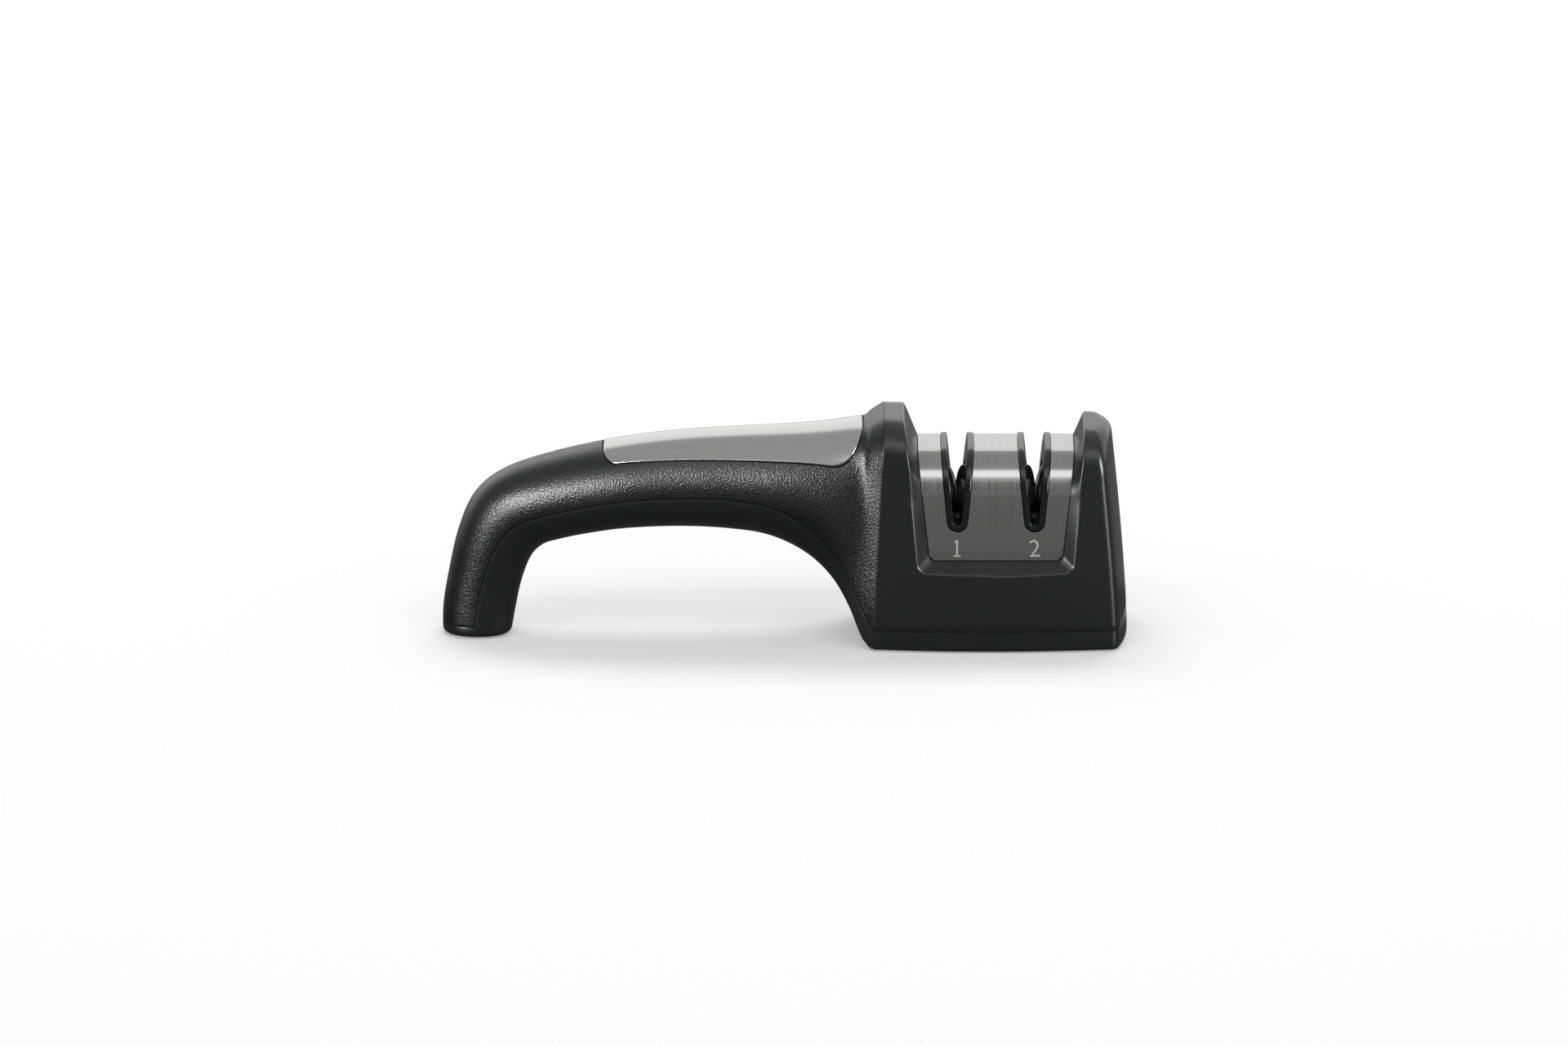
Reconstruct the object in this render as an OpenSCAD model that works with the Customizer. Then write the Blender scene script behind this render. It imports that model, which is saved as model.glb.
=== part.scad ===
// Two-stage pull-through knife sharpener: an arched grip with a leg, and a head
// with two guide slots. Each slot has a pair of tilted abrasive discs on fixed pins.
// Millimetres, +Z up, origin on the resting plane under the middle of the whole length.
// The grip is at -X and the head is at +X.

/* [Overall] */
// Length from the leg to the end of the head
body_l = 210; // [200:1:225]
// Width of the head at its widest, at the base
body_w = 54; // [50:1:62]
// Height of the tall fin beside the grip
fin_h = 70; // [68:0.5:74]
// Height of the low fin at the free end
end_fin_h = 66.5; // [64:0.5:70]
// Wall of the two mouldings
wall = 2.4; // [1.8:0.1:3]

/* [Grip] */
// Height of the top of the grip at the middle of the hand
grip_h = 62.5; // [60:0.5:66]
// Thickness of the grip there, top to underside
grip_t = 28.1; // [26:0.1:32]
// Width of the grip, front to back
grip_w = 35; // [30:0.5:38]
// Width of the leg, front to back
leg_w = 21.8; // [19:0.2:24]
// Length of the leg's foot along X
leg_l = 21.1; // [19:0.5:24]
// Height of the foot that the lower moulding wraps under the leg
foot_h = 3.3; // [2.8:0.1:5]
// Hairline between the upper and the lower moulding
seam = 0.15; // [0.1:0.05:0.3]

/* [Head] */
// Length of the head along the base
head_l = 78.4; // [76:0.5:84]
// How far the sharp front edge beside the grip leans towards the free end
crease_lean = 3.7; // [2:0.1:6]
// How much narrower each side is at the shoulder than at the base
draft = 3.2; // [2:0.1:5]
// Radius of the long shoulders, seen from the end
shoulder_r = 12; // [9:0.5:14]
// Outward bow of the long sides
side_bow = 2.6; // [1:0.1:4]
// Outward bow of the free end
end_bow = 2.4; // [1:0.1:4]
// How far the free end leans in up to its fin
end_lean = 5.6; // [4:0.1:8]
// Radius of the upright corners
corner_r = 3; // [3:0.5:7]
// Radius where the free end turns into its fin
fin_r = 4; // [2:0.5:5]
// Height of the base band
base_h = 6.4; // [5:0.1:9]
// Thickness of the base floor
floor_t = 3; // [2.4:0.1:4]

/* [Saddle] */
// Height of the top of the steel saddle
saddle_h = 59.9; // [58:0.1:61]
// Depth of the steel saddle, front to back
saddle_d = 40.6; // [39:0.2:41]
// Length of the saddle along its top
saddle_l = 47.8; // [46:0.2:50]
// How much shorter each end is at the lower edge
saddle_taper = 3.6; // [2:0.1:5]
// Height of the lower edge of the saddle
saddle_z = 27.8; // [25:0.2:31]
// Thickness of the steel sheet
sheet_t = 0.8; // [0.5:0.1:1.2]
// Distance from the free end to the middle of the saddle
saddle_in = 40.4; // [39.5:0.1:42]
// Width of the sloping border round the saddle
bezel_w = 3.9; // [3:0.1:5]
// Height of the sloping border below the saddle
bezel_low = 2.9; // [2:0.1:4]
// How far each fin's inner face leans out per millimetre of its height
fin_slope = 0.42; // [0.3:0.01:0.5]
// Thickness of the bed that carries the saddle
bed_t = 2.2; // [1.8:0.1:3]

/* [Slots] */
// Distance between the two slots
slot_pitch = 23.6; // [22.5:0.1:25]
// Height of the centre of the round bottom of the cut-out
slot_z = 39.95; // [39:0.05:41]
// Radius of the round bottom of the cut-out
slot_r = 3.25; // [3:0.05:3.6]
// Slope of the sides of the cut-out, in degrees from upright
slot_slope = 5.4; // [4:0.1:6]
// Radius of the round bottom of the guide's own opening
guide_r = 1.2; // [1:0.05:1.5]
// Slope of the guide's own opening, in degrees from upright
guide_slope = 5.6; // [4:0.1:6.5]
// How far the guide stands proud of the steel
guide_proud = 0.5; // [0.2:0.1:0.8]
// Thickness of the guide's floor
guide_floor = 2.05; // [1.6:0.05:2.4]

/* [Discs] */
// Radius of an abrasive disc
disc_r = 7.4; // [6.8:0.1:7.6]
// Thickness of an abrasive disc
disc_t = 1; // [0.8:0.1:1.2]
// Height of the disc centres
disc_z = 45.1; // [44.8:0.1:45.6]
// Distance from the middle of the slot to a disc's inner face
disc_in = 1.53; // [1.4:0.01:1.8]
// Outward lean of each disc at its top, in degrees
disc_lean = 5.7; // [4:0.1:7]
// Turn of the discs across the slot, in degrees
disc_yaw = 15.2; // [12:0.1:17]
// Radius of the hub's barrel
hub_r = 3; // [2.6:0.1:3.4]
// Thickness of the hub's flange
hub_flange_t = 0.8; // [0.6:0.1:1]
// Radius of the steel pin that a disc turns on
pin_r = 1.5; // [1.2:0.05:1.8]

/* [Carriers] */
// Length of a carrier block along X
carrier_l = 20; // [19:0.1:20.5]
// Depth of a carrier block, front to back
carrier_d = 16.8; // [16.4:0.1:17]
// Height of the top of the cheeks
carrier_top = 50.5; // [49:0.1:51]
// Height of the underside of the block
carrier_z = 33.4; // [32:0.1:34]

/* [Inlay] */
// Where the steel inlay of the grip starts, from the leg's end
inlay_start = 49.3; // [45:0.1:60]
// Length of the inlay
inlay_l = 79.6; // [70:0.1:82]
// Thickness of the inlay
inlay_t = 0.8; // [0.5:0.1:1.2]
// Half angle that the inlay wraps round the grip, in degrees
inlay_wrap = 52.5; // [46:0.5:58]

/* [Fasteners and feet] */
// Radius of the screws in the base and the leg
screw_r = 1.4; // [1.2:0.1:1.7]
// Radius of their heads
screw_head_r = 2.8; // [2.4:0.1:3.2]
// Thickness of their heads
screw_head_t = 1.5; // [1.2:0.1:1.8]
// Length of a base screw below its head
base_screw_l = 18; // [12:1:20]
// Length of the leg's screw below its head
leg_screw_l = 14; // [8:1:16]
// Radius of the small screws of the carriers
small_screw_r = 1; // [0.8:0.05:1.15]
// Length of a small screw below its head
small_screw_l = 9; // [7:0.5:9.5]
// How far the rubber stands out below the mouldings
pad_drop = 0.4; // [0.2:0.1:0.8]
// Thickness of the rubber
pad_t = 1.4; // [1:0.1:1.8]
// Length of the rubber mat under the head
mat_l = 46; // [36:1:48]
// Width of the rubber mat
mat_w = 34; // [24:1:38]
// Radius of the rubber pad under the leg
leg_pad_r = 6; // [4:0.5:7]

/* [Hidden] */

// Clearances
running_gap = 0.05;
fit_gap = 0.2;
seat_gap = 0.3;
pin_gap = 0.02;

black = "#202122";
dark = "#17181a";
steel = "#b9bbbd";
rubber = "#2b2b2c";

x_end = body_l / 2;
x_leg = -body_l / 2;
x_head = x_end - head_l;
x_saddle = x_end - saddle_in;
z_low = pad_drop;
leg_x = x_leg + leg_l / 2;
slot_x = [x_saddle - slot_pitch / 2, x_saddle + slot_pitch / 2];

// Small helpers: blend of two values or points, and a smooth curve through keys
function mix(a, b, t) = a + (b - a) * t;
function clamp(v, lo, hi) = max(lo, min(hi, v));
function spline(a, b, c, d, t) =
    0.5 * (2 * b + (c - a) * t + (2 * a - 5 * b + 4 * c - d) * t * t
    + (3 * b - a - 3 * c + d) * t * t * t);
function last(v) = v[len(v) - 1];
function key_at(keys, i) = keys[clamp(i, 0, len(keys) - 1)];
function on_keys(keys, s) =
    let (i = min(floor(s), len(keys) - 2))
    spline(key_at(keys, i - 1), keys[i], keys[i + 1], key_at(keys, i + 2), s - i);

// A closed solid through rings that have the same number of points. Each end is a fan round
// the ring's middle, or a strip between the ring's two halves.
function mean(v) = (v * [for (x = v) 1]) / len(v);
function middle(ring) = [for (i = [0 : 2]) mean([for (p = ring) p[i]])];
function fan(n, from, apex) = [for (j = [0 : n - 1]) [from + j, from + (j + 1) % n, apex]];
function strip(n, from) = [for (j = [0 : n / 2 - 2])
    each [[from + j, from + j + 1, from + n - 2 - j], [from + j, from + n - 2 - j, from + n - 1 - j]]];
function flip(faces) = [for (f = faces) [f[1], f[0], f[2]]];
module loft(rings, strips = false) {
    n = len(rings[0]);
    m = len(rings);
    sides_only = [for (ring = rings) each ring];
    points = strips ? sides_only : concat(sides_only, [middle(rings[0]), middle(rings[m - 1])]);
    sides = [for (i = [0 : m - 2]) for (j = [0 : n - 1]) let (k = (j + 1) % n)
        each [[i * n + j, i * n + k, (i + 1) * n + k], [i * n + j, (i + 1) * n + k, (i + 1) * n + j]]];
    start = flip(strips ? strip(n, 0) : fan(n, 0, m * n));
    finish = strips ? strip(n, (m - 1) * n) : fan(n, (m - 1) * n, m * n + 1);
    polyhedron(points = points, faces = concat(sides, start, finish), convexity = 8);
}

// The grip's side view: top X and Z, underside X and Z, half width, how far the section
// has turned into the head's arch, and where the seam lies between top and underside.
// X runs from 0 at the leg's end to 1 at the head, Z from 0 to 1 at the top of the grip.
span = x_head - x_leg;
foot = leg_l / span;
t_mid = 1 - grip_t / grip_h;
half_leg = leg_w / 2;
half_grip = grip_w / 2;
grip_keys = [
    [0.000, 0.000, foot, 0.000, half_leg, 0.00, 0.46],
    [0.001, 0.125, foot + 0.010, 0.125, half_leg + 0.1, 0.00, 0.46],
    [0.012, 0.277, foot + 0.025, 0.490 * t_mid, half_leg + 0.6, 0.00, 0.47],
    [0.036, 0.506, foot + 0.048, 0.715 * t_mid, mix(half_leg, half_grip, 0.24), 0.00, 0.496],
    [0.074, 0.690, foot + 0.078, 0.830 * t_mid, mix(half_leg, half_grip, 0.41), 0.00, 0.529],
    [0.140, 0.807, foot + 0.117, 0.880 * t_mid, mix(half_leg, half_grip, 0.62), 0.00, 0.56],
    [0.250, 0.889, foot + 0.175, 0.930 * t_mid, mix(half_leg, half_grip, 0.79), 0.00, 0.567],
    [0.395, 0.957, foot + 0.265, 0.982 * t_mid, half_grip - 0.4, 0.00, 0.567],
    [0.547, 1.000, foot + 0.386, 1.003 * t_mid, half_grip, 0.00, 0.575],
    [0.691, 1.019, foot + 0.500, 0.986 * t_mid, half_grip + 0.9, 0.00, 0.592],
    [0.813, 1.031, foot + 0.599, 0.927 * t_mid, half_grip + 2.2, 0.03, 0.652],
    [0.896, 1.045, foot + 0.683, 0.771 * t_mid, half_grip + 3.1, 0.12, 0.736],
    [0.950, 1.061, foot + 0.744, 0.553 * t_mid, half_grip + 3.8, 0.30, 0.806],
    [0.984, 1.069, foot + 0.786, 0.295 * t_mid, half_grip + 4.4, 0.55, 0.845]];
grip_steps = 2;
ring_n = 36;

// The head's arch, seen along the grip: half width at a height, and the height of its top
half_base = body_w / 2 - side_bow;
half_shoulder = half_base - draft;
function half_at(z, top, inset) =
    let (zs = top - shoulder_r)
    z < zs ? mix(half_base, half_shoulder, z / zs) - inset
    : half_shoulder - shoulder_r
    + sqrt(max(0, pow(shoulder_r - inset, 2) - pow(z - zs, 2)));
function arch_point(a, low, top) =
    let (mid = (low + top) / 2, h = (top - low) / 2, zs = top - shoulder_r - mid,
        yc = half_shoulder - shoulder_r, s = abs(sin(a)), c = cos(a),
        a_top = atan2(yc, h), a_side = atan2(half_shoulder, zs),
        k = (half_base - half_shoulder) / (zs + h),
        b = yc * s + zs * c,
        arc = b + sqrt(max(0, b * b - yc * yc - zs * zs + shoulder_r * shoulder_r)),
        side = (half_shoulder + k * zs) / max(0.001, s + k * c),
        r = abs(a) < a_top ? h / c
            : abs(a) < a_side ? arc
            : min(side, c < 0 ? -h / c : 1000))
    [r * sin(a), r * c] / h;

// One section of the grip: an oval with a flat top and sides that slope out to its middle,
// which turns into the head's arch
across_power = 2.8;
rise_powers = [1.9, 2.2];
function round_point(a) =
    [sign(sin(a)) * pow(abs(sin(a)), 2 / across_power),
    sign(cos(a)) * pow(abs(cos(a)), 2 / rise_powers[cos(a) > 0 ? 0 : 1])];
function section_point(key, a, inset) =
    let (top = [x_leg + key[0] * span, z_low + key[1] * (grip_h - z_low)],
        low = [x_leg + key[2] * span, z_low + key[3] * (grip_h - z_low)],
        length = norm(top - low), mid = (top + low) / 2, up = (top - low) / length,
        h = length / 2 - inset, w = key[4] - inset,
        arch = arch_point(a, z_low, fin_h), arch_w = half_base * 2 / (fin_h - z_low),
        p = mix(round_point(a), [arch[0] / arch_w, arch[1]], key[5]),
        v = mid + up * h * p[1])
    [v[0], w * p[0], v[1]];
crease_key = [1 + crease_lean / span, (fin_h - z_low) / (grip_h - z_low), 1, 0, half_base, 1, 0.914];
lip_key = [1, 1.09, foot + 0.815, 0.07 * t_mid, half_grip + 5.4, 0.8, 0.863];
all_keys = concat(grip_keys, [lip_key, crease_key]);
function grip_key(i) = on_keys(all_keys, i / grip_steps);
grip_count = (len(all_keys) - 1) * grip_steps;
function ring_angle(j) = 360 * j / ring_n - 180;
function grip_ring(i, inset) =
    [for (j = [0 : ring_n - 1]) section_point(grip_key(i), ring_angle(j), inset)];

module grip_solid(inset, first, tail) {
    rings = [for (i = [first : grip_count]) grip_ring(i, inset)];
    end_ring = [for (p = last(rings)) [p[0] + tail, p[1] * 0.93, mix(fin_h / 2, p[2], 0.93)]];
    loft(concat(rings, [end_ring]));
}

// The head's outer block: stacked outlines whose top follows the two fins
function top_at(x) = mix(fin_h, end_fin_h, (x - x_head) / (head_l - 8));
function end_at(f) = x_end - end_lean * pow(max(0, f - 0.06), 1.35);
function side_bulge(w, t) =
    side_bow * clamp(w / half_shoulder, 0, 1) * (1 - pow(2 * t - 1, 2)) * (1 - 0.12 * t);
function level(f, inset) =
    let (z_ref = f * fin_h, from_top = (1 - f) * end_fin_h,
        round_in = from_top < fin_r ? fin_r - sqrt(max(0, fin_r * fin_r - pow(fin_r - from_top, 2))) : 0,
        xa = x_head + crease_lean * f + inset, xb = end_at(f) - round_in - inset,
        w = half_at(z_ref, fin_h, inset), xc = xb - end_bow - corner_r, steps = 10,
        r = min(corner_r, w * 0.6))
    concat(
        [for (i = [0 : steps]) let (t = i / steps, x = mix(xa, xc, t))
            [x, -w - side_bulge(w, t)]],
        [for (i = [1 : 5]) let (g = -90 + 15 * i) [xc + corner_r * cos(g), -w + r + r * sin(g)]],
        [for (i = [-4 : 4]) let (t = i / 4.6) [xb - end_bow * t * t * 1.05, t * (w - r * 0.8)]],
        [for (i = [5 : -1 : 1]) let (g = 90 - 15 * i) [xc + corner_r * cos(g), w - r + r * sin(g)]],
        [for (i = [steps : -1 : 0]) let (t = i / steps, x = mix(xa, xc, t))
            [x, w + side_bulge(w, t)]]);
arc_steps = 6;
function level_list(low, cut) = concat(
    [low, 0.1, 0.25, 0.45, 0.65, 1 - shoulder_r / fin_h],
    [for (i = [1 : arc_steps]) let (t = i / arc_steps)
        1 - (shoulder_r * (1 - sin(90 * t)) + cut * t) / fin_h]);
module head_block(inset, low) {
    levels = level_list(low / fin_h, inset);
    loft([for (i = [len(levels) - 1 : -1 : 0])
        [for (p = level(levels[i], inset)) [p[0], p[1], levels[i] * top_at(p[0])]]]);
}

// Everything above or below the seam, in side view
module seam_region(above, gap) {
    line = concat(
        [[x_leg - 5, z_low + foot_h], [x_leg + foot * span * grip_keys[0][6], z_low + foot_h]],
        [for (i = [0 : grip_count - 1]) let (k = on_keys(all_keys, (i + 0.5) / grip_steps),
            x = x_leg + span * mix(k[0], k[2], k[6]),
            z = z_low + (grip_h - z_low) * mix(k[1], k[3], k[6]))
            if (z > z_low + foot_h && x < x_head + 0.5 && z > base_h + 0.5) [x, z]],
        [[x_head + 0.6, base_h], [x_end + 5, base_h]]);
    far = above ? 100 : -20;
    points = concat([for (p = line) [p[0], p[1] + (above ? gap : 0)]],
        [[x_end + 5, far], [x_leg - 5, far]]);
    rotate([90, 0, 0])
    linear_extrude(height = body_w + 20, center = true)
    polygon(points);
}

// Side profile of the saddle: flat top, round shoulders, upright flanks
saddle_r = shoulder_r;
module saddle_profile(offset_out, low) {
    r = saddle_r + offset_out;
    half = saddle_d / 2 + offset_out;
    top = saddle_h + offset_out;
    translate([-half, low]) square([2 * half, top - r - low]);
    translate([-(half - r), low]) square([2 * (half - r), top - low]);
    for (side = [-1, 1]) translate([side * (half - r), top - r]) circle(r = r, $fn = 96);
}
module saddle_bar(offset_out, low) {
    translate([x_head - 5, 0, 0]) rotate([90, 0, 90])
    linear_extrude(height = head_l + 20) saddle_profile(offset_out, low);
}

// Half width of the block's own side at a place along it and a height
function block_half(x, z) =
    let (f = z / top_at(x), w = half_at(f * fin_h, fin_h, 0), xa = x_head + crease_lean * f,
        t = (x - xa) / (end_at(f) - end_bow - corner_r - xa))
    w + side_bulge(w, clamp(t, 0, 1));
// Distance from a point inside the block to its surface, found by halving
function block_depth(from, dir, x, lo, hi, n) =
    let (d = (lo + hi) / 2, p = from + dir * d, inside = p[1] < top_at(x) && -p[0] < block_half(x, p[1]))
    n == 0 ? d : block_depth(from, dir, x, inside ? d : lo, inside ? hi : d, n - 1);

// The trough that the saddle lies in: it runs up the front, over the top and down the back.
// Upright walls reach up to the saddle's face, and from there a border slopes out.
arc_n = 9;
path_n = arc_n + 2;
function path_arc(i) = 90 * clamp(i - 2, 0, arc_n) / arc_n;
function path_dir(i) = [-cos(path_arc(i)), sin(path_arc(i))];
function path_point(i) =
    let (half = saddle_d / 2, r = saddle_r, arc = path_arc(i))
    i == 0 ? [-half, saddle_z]
    : i == 1 ? [-half, mix(saddle_z, saddle_h - r, 0.5)]
    : [-(half - r) - r * cos(arc), saddle_h - r + r * sin(arc)];
function half_len(z) = saddle_l / 2 - saddle_taper * (saddle_h - z) / (saddle_h - saddle_z);
function trough_side(i, side, deep, grow) =
    let (p = path_point(i), dir = path_dir(i), half = half_len(p[1]) + grow,
        d = block_depth(p, dir, x_saddle + side * half, 0, 20, 12),
        border = mix(bezel_w, fin_slope * d, path_arc(i) / 90), over = (d + 4) / d,
        drop = i == 0 ? 1 : 0,
        low = p - [0, drop * grow], rim = low + dir * d - [0, drop * bezel_low],
        out = low + (rim - low) * over)
    [for (q = [[half, low - dir * deep], [half, low], [half + border, rim], [half + border * over, out]])
        [x_saddle + side * q[0], q[1][0], q[1][1]]];
module trough(deep, grow) {
    front = [for (i = [0 : path_n])
        let (a = trough_side(i, -1, deep, grow), b = trough_side(i, 1, deep, grow))
        concat(b, [a[3], a[2], a[1], a[0]])];
    back = [for (i = [path_n : -1 : 0]) [for (p = front[i]) [p[0], -p[1], p[2]]]];
    loft(concat(front, back), strips = true);
}

// Upright U outline with a round bottom and sloping sides
module u_outline(r, z_centre, slope, top) {
    foot_x = r * cos(slope);
    foot_z = z_centre - r * sin(slope);
    top_x = foot_x + (top - foot_z) * tan(slope);
    translate([0, z_centre]) circle(r = r, $fn = 72);
    polygon([[-foot_x, foot_z], [foot_x, foot_z], [top_x, top], [-top_x, top]]);
}
module slot_bar(x, r, z_centre, slope) {
    translate([x, 0, 0]) rotate([90, 0, 0])
    linear_extrude(height = body_w + 8, center = true)
    u_outline(r, z_centre, slope, fin_h + 4);
}

// Screw places
boss_r = screw_r + 1.7;
rib_t = 2;
rib_l = 12;
base_screw_x = [x_head + 10.5, x_end - 13];
base_screw_y = half_base - wall - boss_r - 1.5;
base_seat_z = z_low + screw_head_t + 0.1;
boss_top = base_seat_z + base_screw_l + 13.4;
leg_screw_x = leg_x - 2;
leg_seat_z = pad_t + screw_head_t + 0.1;
leg_post_z = leg_seat_z + 3;
small_head_r = small_screw_r + 0.9;
small_head_t = 1.2;
ear_half = small_head_r + 0.1;
ear_t = 2.3;
ear_z = carrier_top - 4.3;
ear_top = ear_z + ear_t;
carrier_screw = [carrier_l / 2 - ear_half, carrier_d / 2 + ear_half + 1.4];
blind = 0.5;

module base_screw_places() {
    for (x = base_screw_x) for (y = [-1, 1]) translate([x, y * base_screw_y, 0]) children();
}
function ear_side(i, s) = i == 0 ? s : -s;
module carrier_screw_places(i) {
    for (s = [-1, 1])
        translate([slot_x[i] + s * carrier_screw[0], ear_side(i, s) * carrier_screw[1], 0]) children();
}
module post(r, from, to) {
    translate([0, 0, from]) cylinder(r = r, h = to - from, $fn = 32);
}

// The hollow inside the two mouldings
leg_floor = foot_h - 0.5;
module hollow() {
    difference() {
        union() {
            grip_solid(wall, 1, 2);
            head_block(wall, z_low + floor_t);
        }
        trough(sheet_t + seat_gap + bed_t, wall);
        translate([x_leg, -body_w, 0]) cube([span + 2, 2 * body_w, z_low + leg_floor]);
        translate([x_head - wall, -body_w, 0]) cube([head_l + 2 * wall, 2 * body_w, z_low + floor_t]);
    }
}
module outer_shape() {
    grip_solid(0, 0, 3);
    head_block(0, z_low);
}

// A curved strip on top of the grip with rounded corners, between a depth and a rise
inlay_n = 20;
inlay_m = 12;
inlay_corners = [3.6, 9.5];
corner_power = 2.4;
inlay_taper = 12;
function key_for_x(x, lo, hi, n) =
    let (m = (lo + hi) / 2)
    n == 0 ? m
    : x_leg + span * on_keys(all_keys, m)[0] < x ? key_for_x(x, m, hi, n - 1)
    : key_for_x(x, lo, m, n - 1);
function rounding(t) = pow(1 - pow(1 - clamp(t, 0.01, 1), corner_power), 1 / corner_power);
function inlay_ring(start, long, wrap, depth, rise, t) =
    let (key = on_keys(all_keys, key_for_x(x_leg + start + long * t, 0, len(all_keys) - 1, 18)),
        limit = (wrap - inlay_taper * pow(1 - t, 2.5)) * rounding(t * long / inlay_corners[0])
            * rounding((1 - t) * long / inlay_corners[1]))
    concat(
        [for (j = [-inlay_m : inlay_m]) section_point(key, limit * j / inlay_m, depth)],
        [for (j = [inlay_m : -1 : -inlay_m]) section_point(key, limit * j / inlay_m, -rise)]);
module inlay_patch(grow, depth, rise) {
    loft([for (i = [inlay_n : -1 : 0])
        inlay_ring(inlay_start - grow, inlay_l + 2 * grow, inlay_wrap + grow * 4, depth, rise,
            0.5 - 0.5 * cos(180 * i / inlay_n))]);
}

// Bosses and ribs that stand in the upper moulding
module upper_bosses() {
    base_screw_places() post(boss_r, base_h - 1, boss_top);
    for (x = base_screw_x) for (y = [base_screw_y, -base_screw_y - rib_l])
        translate([x - rib_t / 2, y, base_h - 1]) cube([rib_t, rib_l, boss_top - base_h - 2]);
    for (i = [0, 1]) carrier_screw_places(i) post(ear_half + 0.1, ear_top, saddle_h);
    translate([leg_screw_x, 0, 0]) post(boss_r, leg_post_z + seam, leg_seat_z + leg_screw_l + 7);
    translate([x_leg, -rib_t / 2, leg_post_z + 2]) cube([leg_screw_x - x_leg, rib_t, leg_screw_l]);
}

module upper_body() {
    color(black)
    difference() {
        union() {
            difference() {
                intersection() {
                    outer_shape();
                    seam_region(true, seam);
                }
                hollow();
            }
            intersection() {
                upper_bosses();
                outer_shape();
                seam_region(true, seam);
            }
        }
        trough(sheet_t + seat_gap, fit_gap);
        for (x = slot_x) slot_bar(x, slot_r + fit_gap, slot_z, slot_slope);
        inlay_patch(seat_gap, inlay_t + fit_gap / 2, 2);
        base_screw_places() post(screw_r, 0, base_seat_z + base_screw_l + blind);
        translate([leg_screw_x, 0, 0]) post(screw_r, 0, leg_seat_z + leg_screw_l + blind);
        for (i = [0, 1]) carrier_screw_places(i) post(small_screw_r, ear_z, ear_z + small_screw_l + blind);
    }
}

module lower_body() {
    color(dark)
    difference() {
        union() {
            difference() {
                intersection() {
                    outer_shape();
                    seam_region(false, 0);
                }
                hollow();
            }
            translate([leg_screw_x, 0, 0]) post(boss_r + 1, z_low + 1, leg_post_z);
        }
        base_screw_places() {
            post(screw_r + fit_gap, 0, base_h + floor_t);
            post(screw_head_r + fit_gap, -1, base_seat_z);
        }
        translate([leg_screw_x, 0, 0]) {
            post(screw_r + fit_gap, 0, leg_post_z + 1);
            post(screw_head_r + fit_gap, -1, leg_seat_z);
        }
        translate([leg_x, 0, -1]) cylinder(r = leg_pad_r + fit_gap, h = 1 + pad_t, $fn = 48);
        translate([x_saddle - mat_l / 2 - fit_gap, -mat_w / 2 - fit_gap, -1])
            cube([mat_l + 2 * fit_gap, mat_w + 2 * fit_gap, 1 + pad_t]);
    }
}

module handle_plate() {
    color(steel)
    inlay_patch(0, inlay_t, 0.1);
}

module saddle_plate() {
    chamfer = 1.5;
    top_z = saddle_h + 4;
    top_half = half_len(top_z);
    low_half = half_len(saddle_z);
    side_half = half_len(saddle_z + chamfer);
    color(steel)
    difference() {
        intersection() {
            difference() {
                saddle_bar(0, saddle_z);
                saddle_bar(-sheet_t, saddle_z - 1);
            }
            translate([x_saddle, 0, 0]) rotate([90, 0, 0])
            linear_extrude(height = body_w, center = true)
            polygon([[chamfer - low_half, saddle_z], [low_half - chamfer, saddle_z],
                [side_half, saddle_z + chamfer], [top_half, top_z],
                [-top_half, top_z], [-side_half, saddle_z + chamfer]]);
        }
        for (x = slot_x) slot_bar(x, slot_r, slot_z, slot_slope);
    }
}

// Slot liner: a U channel through the saddle, open in the middle where the discs reach in
module knife_guide(i) {
    low = slot_z - slot_r;
    window = carrier_d / 2 + fit_gap;
    window_top = disc_z + disc_r + 0.9;
    x = slot_x[i];
    color(dark)
    difference() {
        intersection() {
            saddle_bar(guide_proud, low - 1);
            slot_bar(x, slot_r - fit_gap, slot_z, slot_slope);
        }
        slot_bar(x, guide_r, low + fit_gap + guide_floor + guide_r, guide_slope);
        translate([x - slot_pitch / 2, -window, low - 2])
            cube([slot_pitch, 2 * window, window_top - low + 2]);
    }
}
module knife_guide_1() knife_guide(0);
module knife_guide_2() knife_guide(1);

// Place of a disc: local +X is its axis, pointing out of the slot, and X = 0 its inner face
function turn_of(i) = (i == 0 ? 1 : -1) * disc_yaw;
module at_disc(i, side) {
    translate([slot_x[i] + side * disc_in, 0, disc_z])
    rotate([0, disc_lean, turn_of(i) + (side < 0 ? 180 : 0)]) children();
}
module rod(r, from, to, fn = 96) {
    translate([from, 0, 0]) rotate([0, 90, 0]) cylinder(r = r, h = to - from, $fn = fn);
}
hub_out = disc_t + hub_flange_t;
hub_flange_r = hub_r + 0.7;
pin_head_r = pin_r + 0.8;
pin_head_t = 0.5;
end_play = 0.2;
cheek_in = disc_in + hub_out + 0.72;
cheek_t = 4.15;

module abrasive_disc(i, side) {
    color("#6d6f72")
    at_disc(i, side)
    difference() {
        rod(disc_r, 0, disc_t, 128);
        rod(hub_r + pin_gap, -1, disc_t + 1);
    }
}
module disc_hub(i, side) {
    color("#c9c4b4")
    at_disc(i, side)
    difference() {
        union() {
            rod(hub_r, 0, hub_out);
            rod(hub_flange_r, disc_t, hub_out);
        }
        rod(pin_r + running_gap, -1, hub_out + 1);
    }
}
module disc_axle(i, side) {
    color(steel)
    at_disc(i, side) {
        rod(pin_r, -end_play - pin_head_t, cheek_in + cheek_t);
        rod(pin_head_r, -end_play - pin_head_t, -end_play);
    }
}
module coarse_disc_left() abrasive_disc(0, -1);
module coarse_disc_right() abrasive_disc(0, 1);
module fine_disc_left() abrasive_disc(1, -1);
module fine_disc_right() abrasive_disc(1, 1);
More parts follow.
